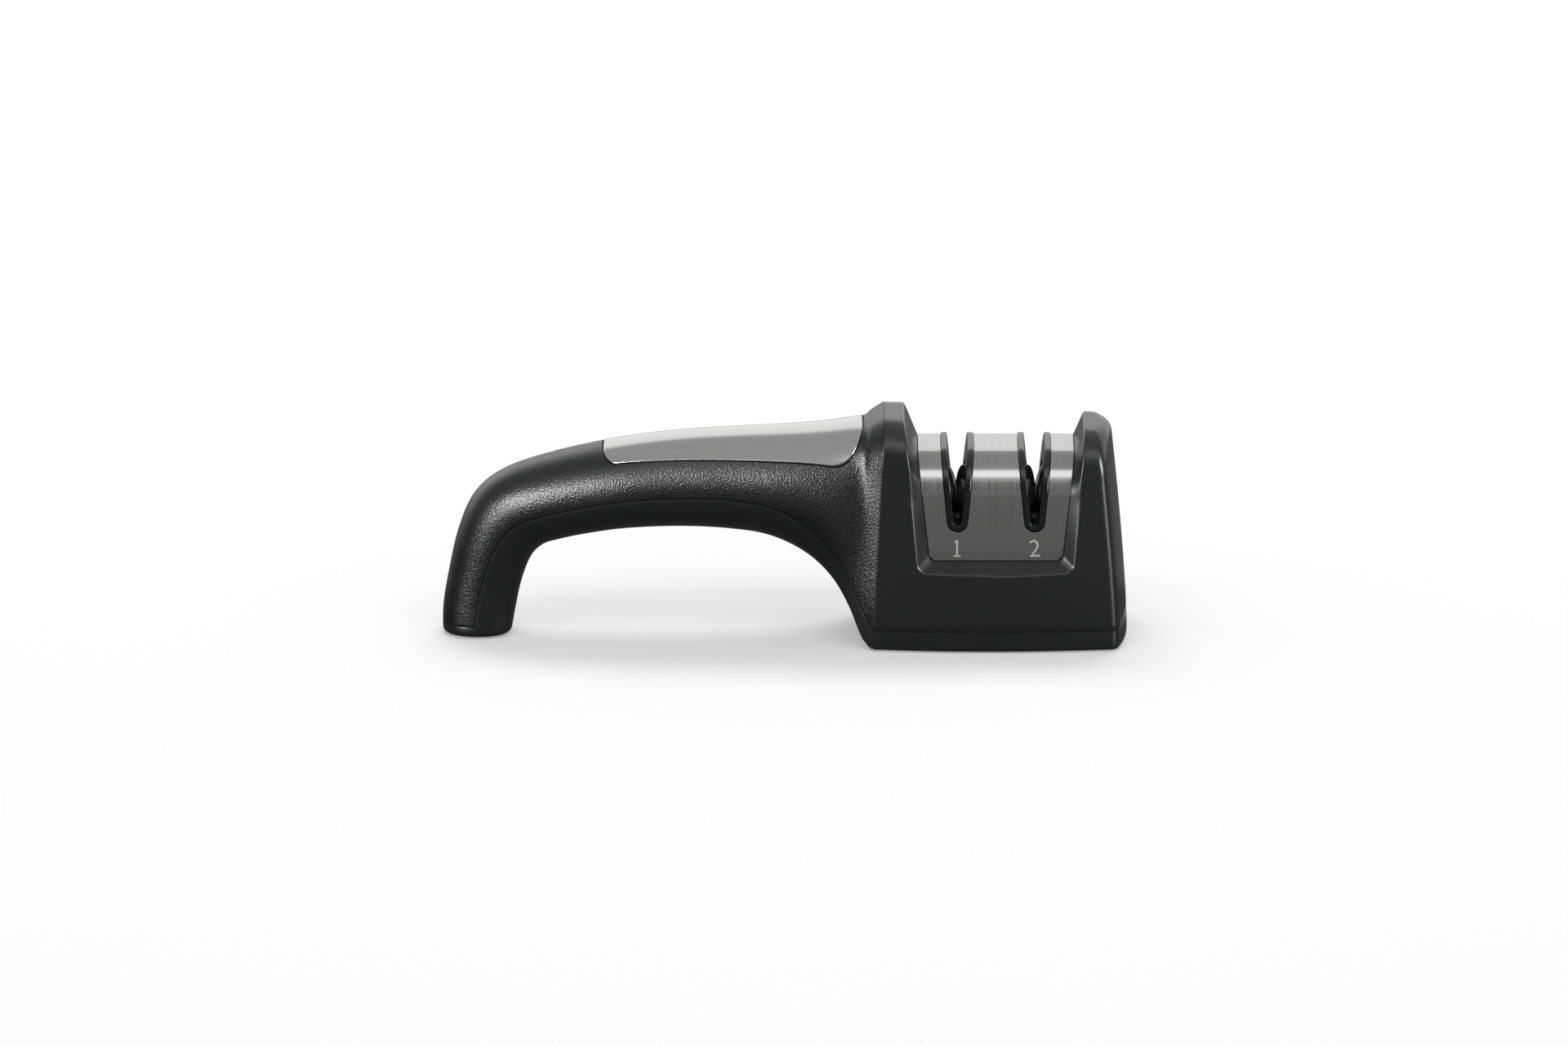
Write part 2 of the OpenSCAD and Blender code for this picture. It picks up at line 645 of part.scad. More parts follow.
module coarse_hub_left() disc_hub(0, -1);
module coarse_hub_right() disc_hub(0, 1);
module fine_hub_left() disc_hub(1, -1);
module fine_hub_right() disc_hub(1, 1);
module coarse_axle_left() disc_axle(0, -1);
module coarse_axle_right() disc_axle(0, 1);
module fine_axle_left() disc_axle(1, -1);
module fine_axle_right() disc_axle(1, 1);

// Block under the saddle with two cheeks that hold the pins, and two ears for its screws
module disc_carrier(i) {
    x = slot_x[i];
    ear_l = carrier_screw[1] + ear_half + 0.2;
    color("#3a3b3d")
    difference() {
        union() {
            translate([x - carrier_l / 2, -carrier_d / 2, carrier_z])
                cube([carrier_l, carrier_d, carrier_top - carrier_z]);
            for (s = [-1, 1])
                translate([x + s * carrier_screw[0] - ear_half, ear_side(i, s) > 0 ? 0 : -ear_l, ear_z])
                cube([2 * ear_half, ear_l, ear_t]);
        }
        translate([x, 0, carrier_z + 2]) rotate([0, 0, turn_of(i)])
            translate([-cheek_in, -carrier_d, 0]) cube([2 * cheek_in, 2 * carrier_d, carrier_top]);
        for (s = [-1, 1]) at_disc(i, s) rod(pin_r + pin_gap, 0, cheek_in + cheek_t + 0.3);
        carrier_screw_places(i) post(small_screw_r + fit_gap / 2, ear_z - 1, ear_top + 1);
    }
}
module disc_carrier_1() disc_carrier(0);
module disc_carrier_2() disc_carrier(1);

// Cross-recessed screw with its head below the given height and its shank above
module pan_screw(r, head_r, head_t, length, seat_z) {
    translate([0, 0, seat_z - head_t])
    difference() {
        union() {
            post(r, 0, head_t + length);
            post(head_r, 0, head_t);
        }
        for (g = [0, 90]) rotate([0, 0, g]) translate([-head_r * 0.6, -head_r * 0.12, -1])
            cube([head_r * 1.2, head_r * 0.24, 1 + head_t * 0.6]);
    }
}
module carrier_screws() {
    color(steel)
    for (i = [0, 1]) carrier_screw_places(i)
        pan_screw(small_screw_r - pin_gap, small_head_r, small_head_t, small_screw_l, ear_z);
}
module base_screws() {
    color(steel)
    base_screw_places() pan_screw(screw_r - pin_gap, screw_head_r, screw_head_t, base_screw_l, base_seat_z);
}
module leg_screw() {
    color(steel)
    translate([leg_screw_x, 0, 0])
    pan_screw(screw_r - pin_gap, screw_head_r, screw_head_t, leg_screw_l, leg_seat_z);
}
module base_mat() {
    color(rubber)
    translate([x_saddle - mat_l / 2, -mat_w / 2, 0]) cube([mat_l, mat_w, pad_t]);
}
module leg_pad() {
    color(rubber)
    translate([leg_x, 0, 0]) cylinder(r = leg_pad_r, h = pad_t, $fn = 48);
}

upper_body();
lower_body();
handle_plate();
saddle_plate();
knife_guide_1();
knife_guide_2();
disc_carrier_1();
disc_carrier_2();
coarse_disc_left();
coarse_disc_right();
fine_disc_left();
fine_disc_right();
coarse_hub_left();
coarse_hub_right();
fine_hub_left();
fine_hub_right();
coarse_axle_left();
coarse_axle_right();
fine_axle_left();
fine_axle_right();
carrier_screws();
base_screws();
leg_screw();
base_mat();
leg_pad();
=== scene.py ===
# %% [markdown]
# # A two-stage knife sharpener
# The sharpener stands on the end of a curved leg and on the flat bottom of its head. Two black
# mouldings meet at a hairline seam, a steel inlay lies on the grip, and a bent steel sheet lies
# over the head like a saddle. This notebook dresses the CAD frame, piece by piece, at real size.
# All sizes are in millimetres and turn into metres when a mesh is made.

# %% Load the frame
import math
import bpy
import bmesh
from mathutils import Matrix, Vector


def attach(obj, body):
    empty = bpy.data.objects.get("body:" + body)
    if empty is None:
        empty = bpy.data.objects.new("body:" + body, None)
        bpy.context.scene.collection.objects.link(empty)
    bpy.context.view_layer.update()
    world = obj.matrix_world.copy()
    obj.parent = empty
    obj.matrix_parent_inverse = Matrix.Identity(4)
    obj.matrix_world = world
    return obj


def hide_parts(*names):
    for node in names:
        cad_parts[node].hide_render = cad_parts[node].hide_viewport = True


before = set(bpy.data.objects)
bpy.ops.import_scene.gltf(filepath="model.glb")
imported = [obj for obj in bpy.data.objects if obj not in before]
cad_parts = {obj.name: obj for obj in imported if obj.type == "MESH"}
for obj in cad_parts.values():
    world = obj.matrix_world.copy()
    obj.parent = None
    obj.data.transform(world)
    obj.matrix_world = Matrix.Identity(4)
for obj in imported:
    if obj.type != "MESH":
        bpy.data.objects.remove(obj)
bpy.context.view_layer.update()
scene = bpy.context.scene
MM = 0.001
MERGE = 0.002

# %% [markdown]
# ## Helpers for meshes
# Every shell here is a grid whose corners are put on a curved surface by a rule. The operator
# makes the grid, the rule only moves its corners, so the cells stay in tidy rows and the light
# runs smoothly over them. Where the rule closes the grid on itself, its doubles are merged.

# %% Blending helpers
def mix(a, b, t):
    return a + (b - a) * t


def clamp(v, low, high):
    return max(low, min(high, v))


def halve(inside, low, high, steps=26):
    """The value between low and high where inside(value) turns false."""
    for _ in range(steps):
        middle = (low + high) / 2
        low, high = (middle, high) if inside(middle) else (low, middle)
    return (low + high) / 2


def spread(stops, cells):
    """Values from stop to stop, with that many even cells between each two."""
    out = [stops[0]]
    for a, b, n in zip(stops, stops[1:], cells):
        out += [mix(a, b, (k + 1) / n) for k in range(n)]
    return out


# %% From bmesh to a finished object
def make_object(bm, name, sharp=32):
    bmesh.ops.remove_doubles(bm, verts=bm.verts, dist=MERGE * MM)
    bmesh.ops.recalc_face_normals(bm, faces=bm.faces)
    mesh = bpy.data.meshes.new(name)
    bm.to_mesh(mesh)
    bm.free()
    piece = bpy.data.objects.new(name, mesh)
    scene.collection.objects.link(piece)
    shade(piece, sharp)
    return piece


def shade(piece, sharp=32):
    mesh = piece.data
    mesh.polygons.foreach_set("use_smooth", [True] * len(mesh.polygons))
    mesh.set_sharp_from_angle(angle=math.radians(sharp))


def open_edges(bm):
    return [e for e in bm.edges if len(e.link_faces) == 1]


# %% A grid laid on a rule
def lay_grid(name, rows, sharp=32):
    """rows is a list of rings, each a list of points. Neighbouring rings are joined by cells."""
    across, along = len(rows[0]) - 1, len(rows) - 1
    bm = bmesh.new()
    bm.loops.layers.uv.new("grid")
    bmesh.ops.create_grid(bm, x_segments=across, y_segments=along, size=0.5, calc_uvs=True)
    for v in bm.verts:
        i, j = round((v.co.x + 0.5) * across), round((v.co.y + 0.5) * along)
        v.co = Vector(rows[j][i]) * MM
    bmesh.ops.remove_doubles(bm, verts=bm.verts, dist=MERGE * MM)
    bmesh.ops.holes_fill(bm, edges=open_edges(bm), sides=0)
    return make_object(bm, name, sharp)


def carve(piece, tool):
    """Cuts the tool out of the piece, keeps the result as its mesh and throws the tool away."""
    cut = piece.modifiers.new("cut", "BOOLEAN")
    cut.object, cut.operation, cut.solver = tool, "DIFFERENCE", "EXACT"
    done = piece.evaluated_get(bpy.context.evaluated_depsgraph_get())
    mesh = bpy.data.meshes.new_from_object(done)
    piece.modifiers.clear()
    piece.data = mesh
    bpy.data.objects.remove(tool)
    shade(piece)


# %% [markdown]
# ## Helpers for materials
# Colours are written as a painter's sRGB hex and turned to linear light by one function. One
# function adds a node, sets it and links it, whatever its kind.

# %% Colour and node helpers
def srgb(code):
    parts = [int(code[k:k + 2], 16) / 255 for k in (1, 3, 5)]
    return [c / 12.92 if c <= 0.04045 else ((c + 0.055) / 1.055) ** 2.4 for c in parts] + [1.0]


def add(tree, kind, inputs=None, **settings):
    node = tree.nodes.new(kind)
    for key, value in settings.items():
        setattr(node, key, value)
    for key, value in (inputs or {}).items():
        if isinstance(value, bpy.types.NodeSocket):
            tree.links.new(value, node.inputs[key])
        else:
            node.inputs[key].default_value = value
    return node


def new_material(name, colour, roughness, metallic=0.0):
    material = bpy.data.materials.new(name)
    material.use_nodes = True
    shader = material.node_tree.nodes["Principled BSDF"]
    shader.inputs["Base Color"].default_value = srgb(colour)
    shader.inputs["Roughness"].default_value = roughness
    shader.inputs["Metallic"].default_value = metallic
    material.diffuse_color = srgb(colour)
    return material, material.node_tree, shader


def object_pattern(tree, per_mm):
    """Object coordinates stretched so that 1 unit of a texture is 1 / per_mm millimetres."""
    where = add(tree, "ShaderNodeTexCoord")
    return add(tree, "ShaderNodeMapping", {"Vector": where.outputs["Object"],
               "Scale": [n / MM for n in per_mm]}).outputs["Vector"]


def wear(piece, material, body, slot, *nodes):
    """Gives a new piece its material and its body, and hides the CAD nodes it stands for. slot is
    not used.
    """
    piece.data.materials.clear()
    piece.data.materials.append(material)
    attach(piece, body)
    if nodes:
        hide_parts(*nodes)
    print(piece.name, len(piece.data.polygons), "faces")


# %% [markdown]
# ## Black ABS with a fine leather grain
# The grip is moulded in a tool whose steel was etched, which leaves rounded pebbles about 0.5 mm
# wide. They break the highlight into fine sparks and feel dry in the hand. A fine noise gives the
# pebbles, whose valleys carry painted shade: they are coloured a little darker than their tops.
# A wide noise makes some patches shine more than others.

# %% Grained black ABS
grained, tree, shader = new_material("black ABS, moulded with a leather grain", "#17181a", 0.31)
pebbles = add(tree, "ShaderNodeTexNoise", {"Vector": object_pattern(tree, (2.1, 2.1, 2.1)),
              "Scale": 1.0, "Detail": 1.0, "Roughness": 0.4})
patches = add(tree, "ShaderNodeTexNoise", {"Vector": object_pattern(tree, (0.12, 0.12, 0.12)),
              "Scale": 1.0, "Detail": 3.0})
sheen = add(tree, "ShaderNodeMapRange", {"Value": patches.outputs["Fac"], "To Min": 0.28,
            "To Max": 0.34})
bump = add(tree, "ShaderNodeBump", {"Height": pebbles.outputs["Fac"], "Strength": 0.5,
           "Distance": 0.27 * MM})
# Painted shade: the pebbles' valleys are coloured darker than their tops.
painted_valley_shade = add(tree, "ShaderNodeMapRange", {"Value": pebbles.outputs["Fac"], "From Min": 0.35,
              "From Max": 0.65})
tone = add(tree, "ShaderNodeMix", {0: painted_valley_shade.outputs["Result"], 6: srgb("#121315"),
           7: srgb("#1d1e20")}, data_type="RGBA")
tree.links.new(tone.outputs[2], shader.inputs["Base Color"])
tree.links.new(sheen.outputs["Result"], shader.inputs["Roughness"])
tree.links.new(bump.outputs["Normal"], shader.inputs["Normal"])

# %% [markdown]
# ## Black ABS with a satin face
# The head and the underside come from a sand-blasted tool face: a close, dry satin. The real
# texture is 0.05 mm fine, too fine to show here, so it is drawn at 0.2 mm.

# %% Satin black ABS
satin, tree, shader = new_material("black ABS, moulded satin", "#2b2c2d", 0.3)
blast = add(tree, "ShaderNodeTexNoise", {"Vector": object_pattern(tree, (5, 5, 5)), "Scale": 1.0,
            "Detail": 2.0})
patches = add(tree, "ShaderNodeTexNoise", {"Vector": object_pattern(tree, (0.05, 0.05, 0.05)),
              "Scale": 1.0, "Detail": 4.0})
sheen = add(tree, "ShaderNodeMapRange", {"Value": patches.outputs["Fac"], "To Min": 0.26,
            "To Max": 0.32})
bump = add(tree, "ShaderNodeBump", {"Height": blast.outputs["Fac"], "Strength": 0.12,
           "Distance": 0.02 * MM})
tree.links.new(sheen.outputs["Result"], shader.inputs["Roughness"])
tree.links.new(bump.outputs["Normal"], shader.inputs["Normal"])

# %% [markdown]
# ## Brushed stainless steel
# The saddle is sheet steel brushed on a belt before it was bent, so its scratches run up the
# front, over the top and down the back. Scratches are 0.1 to 0.3 mm apart and many centimetres
# long. The inlay on the grip is finer: its scratches run along the grip and hardly show.

# %% Brushed steel, two grains
def brushed_steel(name, colour, roughness, per_mm, depth, shine, stretch):
    """shine is how far the roughness swings, stretch how far highlights are drawn out."""
    material, tree, shader = new_material(name, colour, roughness, metallic=1.0)
    across = add(tree, "ShaderNodeTangent", direction_type="UV_MAP", uv_map="grid")
    shader.inputs["Anisotropic"].default_value = stretch
    tree.links.new(across.outputs["Tangent"], shader.inputs["Tangent"])
    lines = add(tree, "ShaderNodeTexNoise", {"Vector": object_pattern(tree, per_mm), "Scale": 1.0,
                "Detail": 4.0, "Roughness": 0.65})
    tone = add(tree, "ShaderNodeMapRange", {"Value": lines.outputs["Fac"], "From Min": 0.3,
               "From Max": 0.7, "To Min": roughness - shine, "To Max": roughness + shine})
    bump = add(tree, "ShaderNodeBump", {"Height": lines.outputs["Fac"], "Strength": 0.5,
               "Distance": depth * MM})
    dull, bright = ([c * level for c in srgb(colour)] for level in (0.82, 1.12))
    streaks = add(tree, "ShaderNodeMix", {0: lines.outputs["Fac"], 6: dull, 7: bright},
                  data_type="RGBA")
    tree.links.new(streaks.outputs[2], shader.inputs["Base Color"])
    tree.links.new(tone.outputs["Result"], shader.inputs["Roughness"])
    tree.links.new(bump.outputs["Normal"], shader.inputs["Normal"])
    return material


saddle_steel = brushed_steel("stainless steel, belt-brushed upright", "#b4b4b3", 0.26,
                             (7.0, 0.02, 0.02), 0.006, 0.05, 0.75)
inlay_steel = brushed_steel("stainless steel, fine-brushed along the grip", "#c6c6c5", 0.2,
                            (0.02, 3.0, 3.0), 0.001, 0.02, 0.0)
cut_steel, _, _ = new_material("stainless steel, bright cut edge", "#f0f0ee", 0.3, metallic=1.0)

# %% [markdown]
# ## The small materials
# The slot liners are polished black nylon. The discs are steel with abrasive grit bonded on: a
# coarse diamond grit that sparkles and a finer, duller one. The hubs are cream acetal, the pins
# and screws zinc-plated, and the feet soft rubber.

# %% Liner, grit, acetal, zinc and rubber
def speckled(name, colour, roughness, metallic, per_mm, strength, depth, spark):
    """spark is how far the roughness swings between the tops and the pits of the grain."""
    material, tree, shader = new_material(name, colour, roughness, metallic=metallic)
    grit = add(tree, "ShaderNodeTexNoise", {"Vector": object_pattern(tree, [per_mm] * 3),
               "Scale": 1.0, "Detail": 2.0})
    bump = add(tree, "ShaderNodeBump", {"Height": grit.outputs["Fac"], "Strength": strength,
               "Distance": depth * MM})
    gloss = add(tree, "ShaderNodeMapRange", {"Value": grit.outputs["Fac"], "From Min": 0.35,
                "From Max": 0.65, "To Min": roughness + spark, "To Max": roughness - spark})
    tree.links.new(bump.outputs["Normal"], shader.inputs["Normal"])
    tree.links.new(gloss.outputs["Result"], shader.inputs["Roughness"])
    return material


liner_nylon = speckled("black nylon, polished", "#1c1d1f", 0.22, 0.0, 2.0, 0.05, 0.01, 0.02)
carrier_nylon = speckled("black glass-filled nylon", "#1d1e20", 0.5, 0.0, 4.0, 0.25, 0.03, 0.05)
coarse_grit = speckled("steel with coarse diamond grit", "#7b7c7e", 0.38, 0.85, 6.0, 0.5, 0.03,
                       0.1)
fine_grit = speckled("steel with fine ceramic grit", "#858688", 0.36, 0.85, 9.0, 0.3, 0.02, 0.06)
acetal = speckled("cream acetal, moulded", "#c9c4b4", 0.4, 0.0, 1.0, 0.08, 0.02, 0.04)
zinc = speckled("steel, zinc-plated", "#a9abad", 0.3, 1.0, 3.0, 0.1, 0.01, 0.05)
rubber = speckled("black rubber, moulded matt", "#1b1b1b", 0.75, 0.0, 3.0, 0.4, 0.05, 0.05)
etched = speckled("steel, laser-etched pale", "#f6f6f4", 0.5, 0.0, 8.0, 0.3, 0.01, 0.08)

# %% [markdown]
# ## The grip's sections
# The grip is a leg, a bend, an arch and a flare in one sweep. Its side view is given by pairs of
# points: one on the top line, one on the underside, with the half width, how far the round
# section has turned into the head's own arch, and where the seam lies between top and underside.
# A smooth curve through these gives a section anywhere along the grip.

# %% Sizes of the mouldings
X_LEG, X_END, X_HEAD = -105.0, 105.0, 26.6
Z_LOW, BASE_H, FIN_H, END_FIN_H, HEAD_L = 0.4, 6.4, 70.0, 66.5, 78.4
GRIP_H, GRIP_T, LEG_L, FOOT_H, SEAM = 62.5, 28.1, 21.1, 3.3, 0.15
HALF_LEG, HALF_GRIP, HALF_BASE, HALF_SHOULDER = 10.9, 17.5, 24.4, 21.2
SHOULDER_R, SIDE_BOW, END_BOW, END_LEAN = 12.0, 2.6, 2.4, 5.6
CORNER_R, CREASE_LEAN = 3.0, 3.7
ACROSS_POWER, TOP_POWER, LOW_POWER = 2.8, 1.9, 2.2
SPAN = X_HEAD - X_LEG
FOOT, T_MID = LEG_L / SPAN, 1 - GRIP_T / GRIP_H
KEYS = [
    [0.000, 0.000, FOOT, 0.000, HALF_LEG, 0.00, 0.46],
    [0.001, 0.125, FOOT + 0.010, 0.125, HALF_LEG + 0.1, 0.00, 0.46],
    [0.012, 0.277, FOOT + 0.025, 0.490 * T_MID, HALF_LEG + 0.6, 0.00, 0.47],
    [0.036, 0.506, FOOT + 0.048, 0.715 * T_MID, mix(HALF_LEG, HALF_GRIP, 0.24), 0.00, 0.496],
    [0.074, 0.690, FOOT + 0.078, 0.830 * T_MID, mix(HALF_LEG, HALF_GRIP, 0.41), 0.00, 0.529],
    [0.140, 0.807, FOOT + 0.117, 0.880 * T_MID, mix(HALF_LEG, HALF_GRIP, 0.62), 0.00, 0.56],
    [0.250, 0.889, FOOT + 0.175, 0.930 * T_MID, mix(HALF_LEG, HALF_GRIP, 0.79), 0.00, 0.567],
    [0.395, 0.957, FOOT + 0.265, 0.982 * T_MID, HALF_GRIP - 0.4, 0.00, 0.567],
    [0.547, 1.000, FOOT + 0.386, 1.003 * T_MID, HALF_GRIP, 0.00, 0.575],
    [0.691, 1.019, FOOT + 0.500, 0.986 * T_MID, HALF_GRIP + 0.9, 0.00, 0.592],
    [0.813, 1.031, FOOT + 0.599, 0.927 * T_MID, HALF_GRIP + 2.2, 0.03, 0.652],
    [0.896, 1.045, FOOT + 0.683, 0.771 * T_MID, HALF_GRIP + 3.1, 0.12, 0.736],
    [0.950, 1.061, FOOT + 0.744, 0.553 * T_MID, HALF_GRIP + 3.8, 0.30, 0.806],
    [0.984, 1.069, FOOT + 0.786, 0.295 * T_MID, HALF_GRIP + 4.4, 0.55, 0.845],
    [1.000, 1.090, FOOT + 0.815, 0.070 * T_MID, HALF_GRIP + 5.4, 0.80, 0.863],
    [1 + CREASE_LEAN / SPAN, (FIN_H - Z_LOW) / (GRIP_H - Z_LOW), 1, 0, HALF_BASE, 1.00, 0.914]]
LAST = len(KEYS) - 1


# %% A key anywhere along the grip
def key_at(s):
    i = min(int(s), LAST - 1)
    near = [KEYS[clamp(i + d, 0, LAST)] for d in (-1, 0, 1, 2)]
    t = s - i
    return [0.5 * (2 * b + (c - a) * t + (2 * a - 5 * b + 4 * c - d) * t * t
                   + (3 * b - a - 3 * c + d) * t ** 3) for a, b, c, d in zip(*near)]


def height_at(s):
    return Z_LOW + key_at(s)[1] * (GRIP_H - Z_LOW)


# %% The grip's section and the head's arch
def round_outline(angle):
    """An oval with a flat top and sides that slope out to the middle, as the palm likes it."""
    s, c = math.sin(angle), math.cos(angle)
    side = math.copysign(abs(s) ** (2 / ACROSS_POWER), s)
    return side, math.copysign(abs(c) ** (2 / (TOP_POWER if c > 0 else LOW_POWER)), c)


def arch_outline(angle):
    """The head's section seen along the grip: upright sides, round shoulders and a flat top."""
    half = (FIN_H - Z_LOW) / 2
    z_shoulder = FIN_H - SHOULDER_R - (FIN_H + Z_LOW) / 2
    y_shoulder = HALF_SHOULDER - SHOULDER_R
    s, c = abs(math.sin(angle)), math.cos(angle)
    lean = (HALF_BASE - HALF_SHOULDER) / (z_shoulder + half)
    reach = y_shoulder * s + z_shoulder * c
    if abs(angle) < math.atan2(y_shoulder, half):
        r = half / c
    elif abs(angle) < math.atan2(HALF_SHOULDER, z_shoulder):
        r = reach + math.sqrt(max(0, reach ** 2 - y_shoulder ** 2 - z_shoulder ** 2
                                  + SHOULDER_R ** 2))
    else:
        r = (HALF_SHOULDER + lean * z_shoulder) / max(0.001, s + lean * c)
        r = min(r, -half / c) if c < 0 else r
    return r * math.sin(angle) / HALF_BASE, r * c / half


def outline(key, angle):
    a, b = round_outline(angle), arch_outline(angle)
    return mix(a[0], b[0], key[5]), mix(a[1], b[1], key[5])


# %% A point on the grip
def grip_point(key, angle, inset=0.0):
    top = Vector((X_LEG + key[0] * SPAN, 0, Z_LOW + key[1] * (GRIP_H - Z_LOW)))
    low = Vector((X_LEG + key[2] * SPAN, 0, Z_LOW + key[3] * (GRIP_H - Z_LOW)))
    half, up = (top - low).length / 2, (top - low).normalized()
    side, rise = outline(key, angle)
    return (top + low) / 2 + up * (half - inset) * rise + Vector((0, (key[4] - inset) * side, 0))


def seam_angle(key, upper):
    """The angle from the top at which this section reaches its side of the seam."""
    length = math.hypot((key[0] - key[2]) * SPAN, (key[1] - key[3]) * (GRIP_H - Z_LOW))
    rise = 1 - 2 * key[6] + (1 if upper else -1) * SEAM / length
    return halve(lambda a: outline(key, a)[1] > rise, 0.01, math.pi - 0.01)


# %% [markdown]
# ## Upper half of the grip
# Each ring runs over the top from seam to seam and straight back across. The two points at the
# seam are drawn in by a twentieth of a millimetre, as a moulded edge is never sharp, so that the
# hairline catches light.

# %% Rings of the upper half
EDGE = 0.05
foot_s = halve(lambda s: height_at(s) < Z_LOW + FOOT_H, 0, 1)
leg_s = halve(lambda s: height_at(s) < Z_LOW + FOOT_H + SEAM, 0, 1)


def upper_ring(s, inset=0.0, cells=84):
    key = key_at(s)
    edge = seam_angle(key, True)
    angles = spread([-edge, 0.012 - edge, edge - 0.012, edge], [1, cells, 1])
    ring = [grip_point(key, a, max(inset, EDGE if abs(a) == edge else 0)) for a in angles]
    return ring + [ring[-1].lerp(ring[0], k / 6) for k in range(1, 7)]


steps = spread([leg_s + 0.03, 1, LAST - 0.03], [5, (LAST - 1) * 9])
rings = [upper_ring(leg_s, EDGE)] + [upper_ring(s) for s in steps] + [upper_ring(LAST, 0.12)]
grip_upper = lay_grid("grip_upper", rings)
print("upper half of the grip:", len(rings), "rings")


# %% [markdown]
# ## The steel inlay and its recess
# The inlay is a curved plate with rounded corners that lies flush in a recess, with a thin black
# gap round it. Plate and recess come from the same rule, one a little larger than the other. The
# plate's rim is rolled over by half a millimetre, and the rim is what shines along its lower edge.

# %% The rule for plate and recess
INLAY_START, INLAY_L, INLAY_WRAP, INLAY_TAPER, INLAY_T = 49.3, 79.6, 52.5, 12.0, 0.8
TAPER_POWER, CORNER_POWER, INLAY_GAP, INLAY_RIM, INLAY_PROUD = 2.5, 2.4, 0.28, 0.55, 0.1
CORNER_NEAR_LEG, CORNER_NEAR_HEAD, GRIP_RADIUS = 3.6, 9.5, 16


def rounded(t):
    return (1 - (1 - clamp(t, 0.01, 1)) ** CORNER_POWER) ** (1 / CORNER_POWER)


def inlay_strip(name, grow, depth, rise, rim):
    start, long, wrap = INLAY_START - grow, INLAY_L + 2 * grow, INLAY_WRAP + grow * 4
    ends = spread([0, 0.25, 0.6, 1.2, 4, 12, long - 16, long - 5, long - 1.2, long - 0.6,
                   long - 0.25, long], [1, 1, 2, 4, 6, 24, 8, 5, 2, 1, 1])
    sides = spread([-1, -0.985, -0.955, -0.9, 0.9, 0.955, 0.985, 1], [1, 2, 3, 28, 3, 2, 1])
    rings = []
    for along in ends:
        x = X_LEG + start + along
        key = key_at(halve(lambda s: X_LEG + SPAN * key_at(s)[0] < x, 0, LAST))
        limit = wrap - INLAY_TAPER * (1 - along / long) ** TAPER_POWER
        limit *= rounded(along / CORNER_NEAR_LEG) * rounded((long - along) / CORNER_NEAR_HEAD)
        ring = []
        for side in sides:
            near = min((1 - abs(side)) * math.radians(limit) * GRIP_RADIUS, along + 0.02,
                       long - along + 0.02)
            drop = rim * (1 - math.sqrt(1 - (1 - min(near, rim) / rim) ** 2)) if rim else 0
            ring.append(grip_point(key, math.radians(limit * side), drop - rise))
        back = [grip_point(key, math.radians(limit * side), depth) for side in reversed(sides)]
        rings.append(ring + back + ring[:1])
    return lay_grid(name, rings, 60)


# %% Cut the recess and lay the plate
carve(grip_upper, inlay_strip("recess", INLAY_GAP, INLAY_T + 0.3, 3.0, 0))
wear(grip_upper, grained, "housing", "grained_black", "upper_body")
handle_inlay = inlay_strip("handle_inlay", 0, INLAY_T, INLAY_PROUD, INLAY_RIM)
wear(handle_inlay, inlay_steel, "housing", "handle_steel", "handle_plate")

# %% [markdown]
# ## Lower half of the grip and its foot
# The lower moulding wraps under the leg as a foot, then runs up the inside of the bend and under
# the arch. One grid does both: up to the foot's ledge its rings are whole, above it they keep only
# the part between the seams and go straight across behind.

# %% Rings of the lower half
FOOT_R = 1.7
PAD_R, RUBBER_T, RUBBER_GAP = 6.0, 1.4, 0.2


def lower_ring(s, inset=0.0, whole=False, ledge=0.0, cells=(56, 40)):
    key = key_at(s)
    edge = seam_angle(key, False)
    angles = spread([edge, edge + 0.012, 2 * math.pi - edge - 0.012, 2 * math.pi - edge],
                    [1, cells[0], 1])
    ends = (angles[0], angles[-1])
    ring = [grip_point(key, a if a < math.pi else a - 2 * math.pi,
                       inset if whole or a not in ends else EDGE) for a in angles]
    if whole:
        rest = [mix(-edge, edge, k / cells[1]) for k in range(1, cells[1] + 1)]
        return ring + [grip_point(key, a, max(inset, ledge)) for a in rest[:-1]] + ring[:1]
    return ring + [ring[-1].lerp(ring[0], k / cells[1]) for k in range(1, cells[1] + 1)]


rings = []
for k in range(7):
    turn = math.radians(15 * k)
    z = Z_LOW + FOOT_R * (1 - math.cos(turn))
    rings.append(lower_ring(halve(lambda s: height_at(s) < z, 0, 1), FOOT_R * (1 - math.sin(turn)),
                            True, FOOT_R * (1 - math.sin(turn))))
rings += [lower_ring(foot_s - 0.03, 0, True), lower_ring(foot_s, 0, True, EDGE)]
rings += [lower_ring(s) for s in spread([foot_s, 1, LAST], [5, (LAST - 1) * 8])]
grip_lower = lay_grid("grip_lower", rings)


# %% A round cutter for recesses
def drum(name, x, y, r, low, high, sides=64):
    bm = bmesh.new()
    bmesh.ops.create_cone(bm, cap_ends=True, segments=sides, radius1=r * MM, radius2=r * MM,
                          depth=(high - low) * MM,
                          matrix=Matrix.Translation(Vector((x, y, (low + high) / 2)) * MM))
    return make_object(bm, name)


LEG_X = X_LEG + LEG_L / 2
carve(grip_lower, drum("pad_recess", LEG_X, 0, PAD_R + RUBBER_GAP, -1, RUBBER_T))
wear(grip_lower, satin, "housing", "smooth_black", "lower_body")

# %% [markdown]
# ## The head
# The head is an arch-shaped block with two fins and a sloping border down to the saddle. A ring
# runs up the front, over the top, down the back and across the bottom. Each point starts on the
# saddle's own face and moves outwards until it meets the block's skin or the sloping border,
# whichever comes first, and where the two meet the corner is rounded.

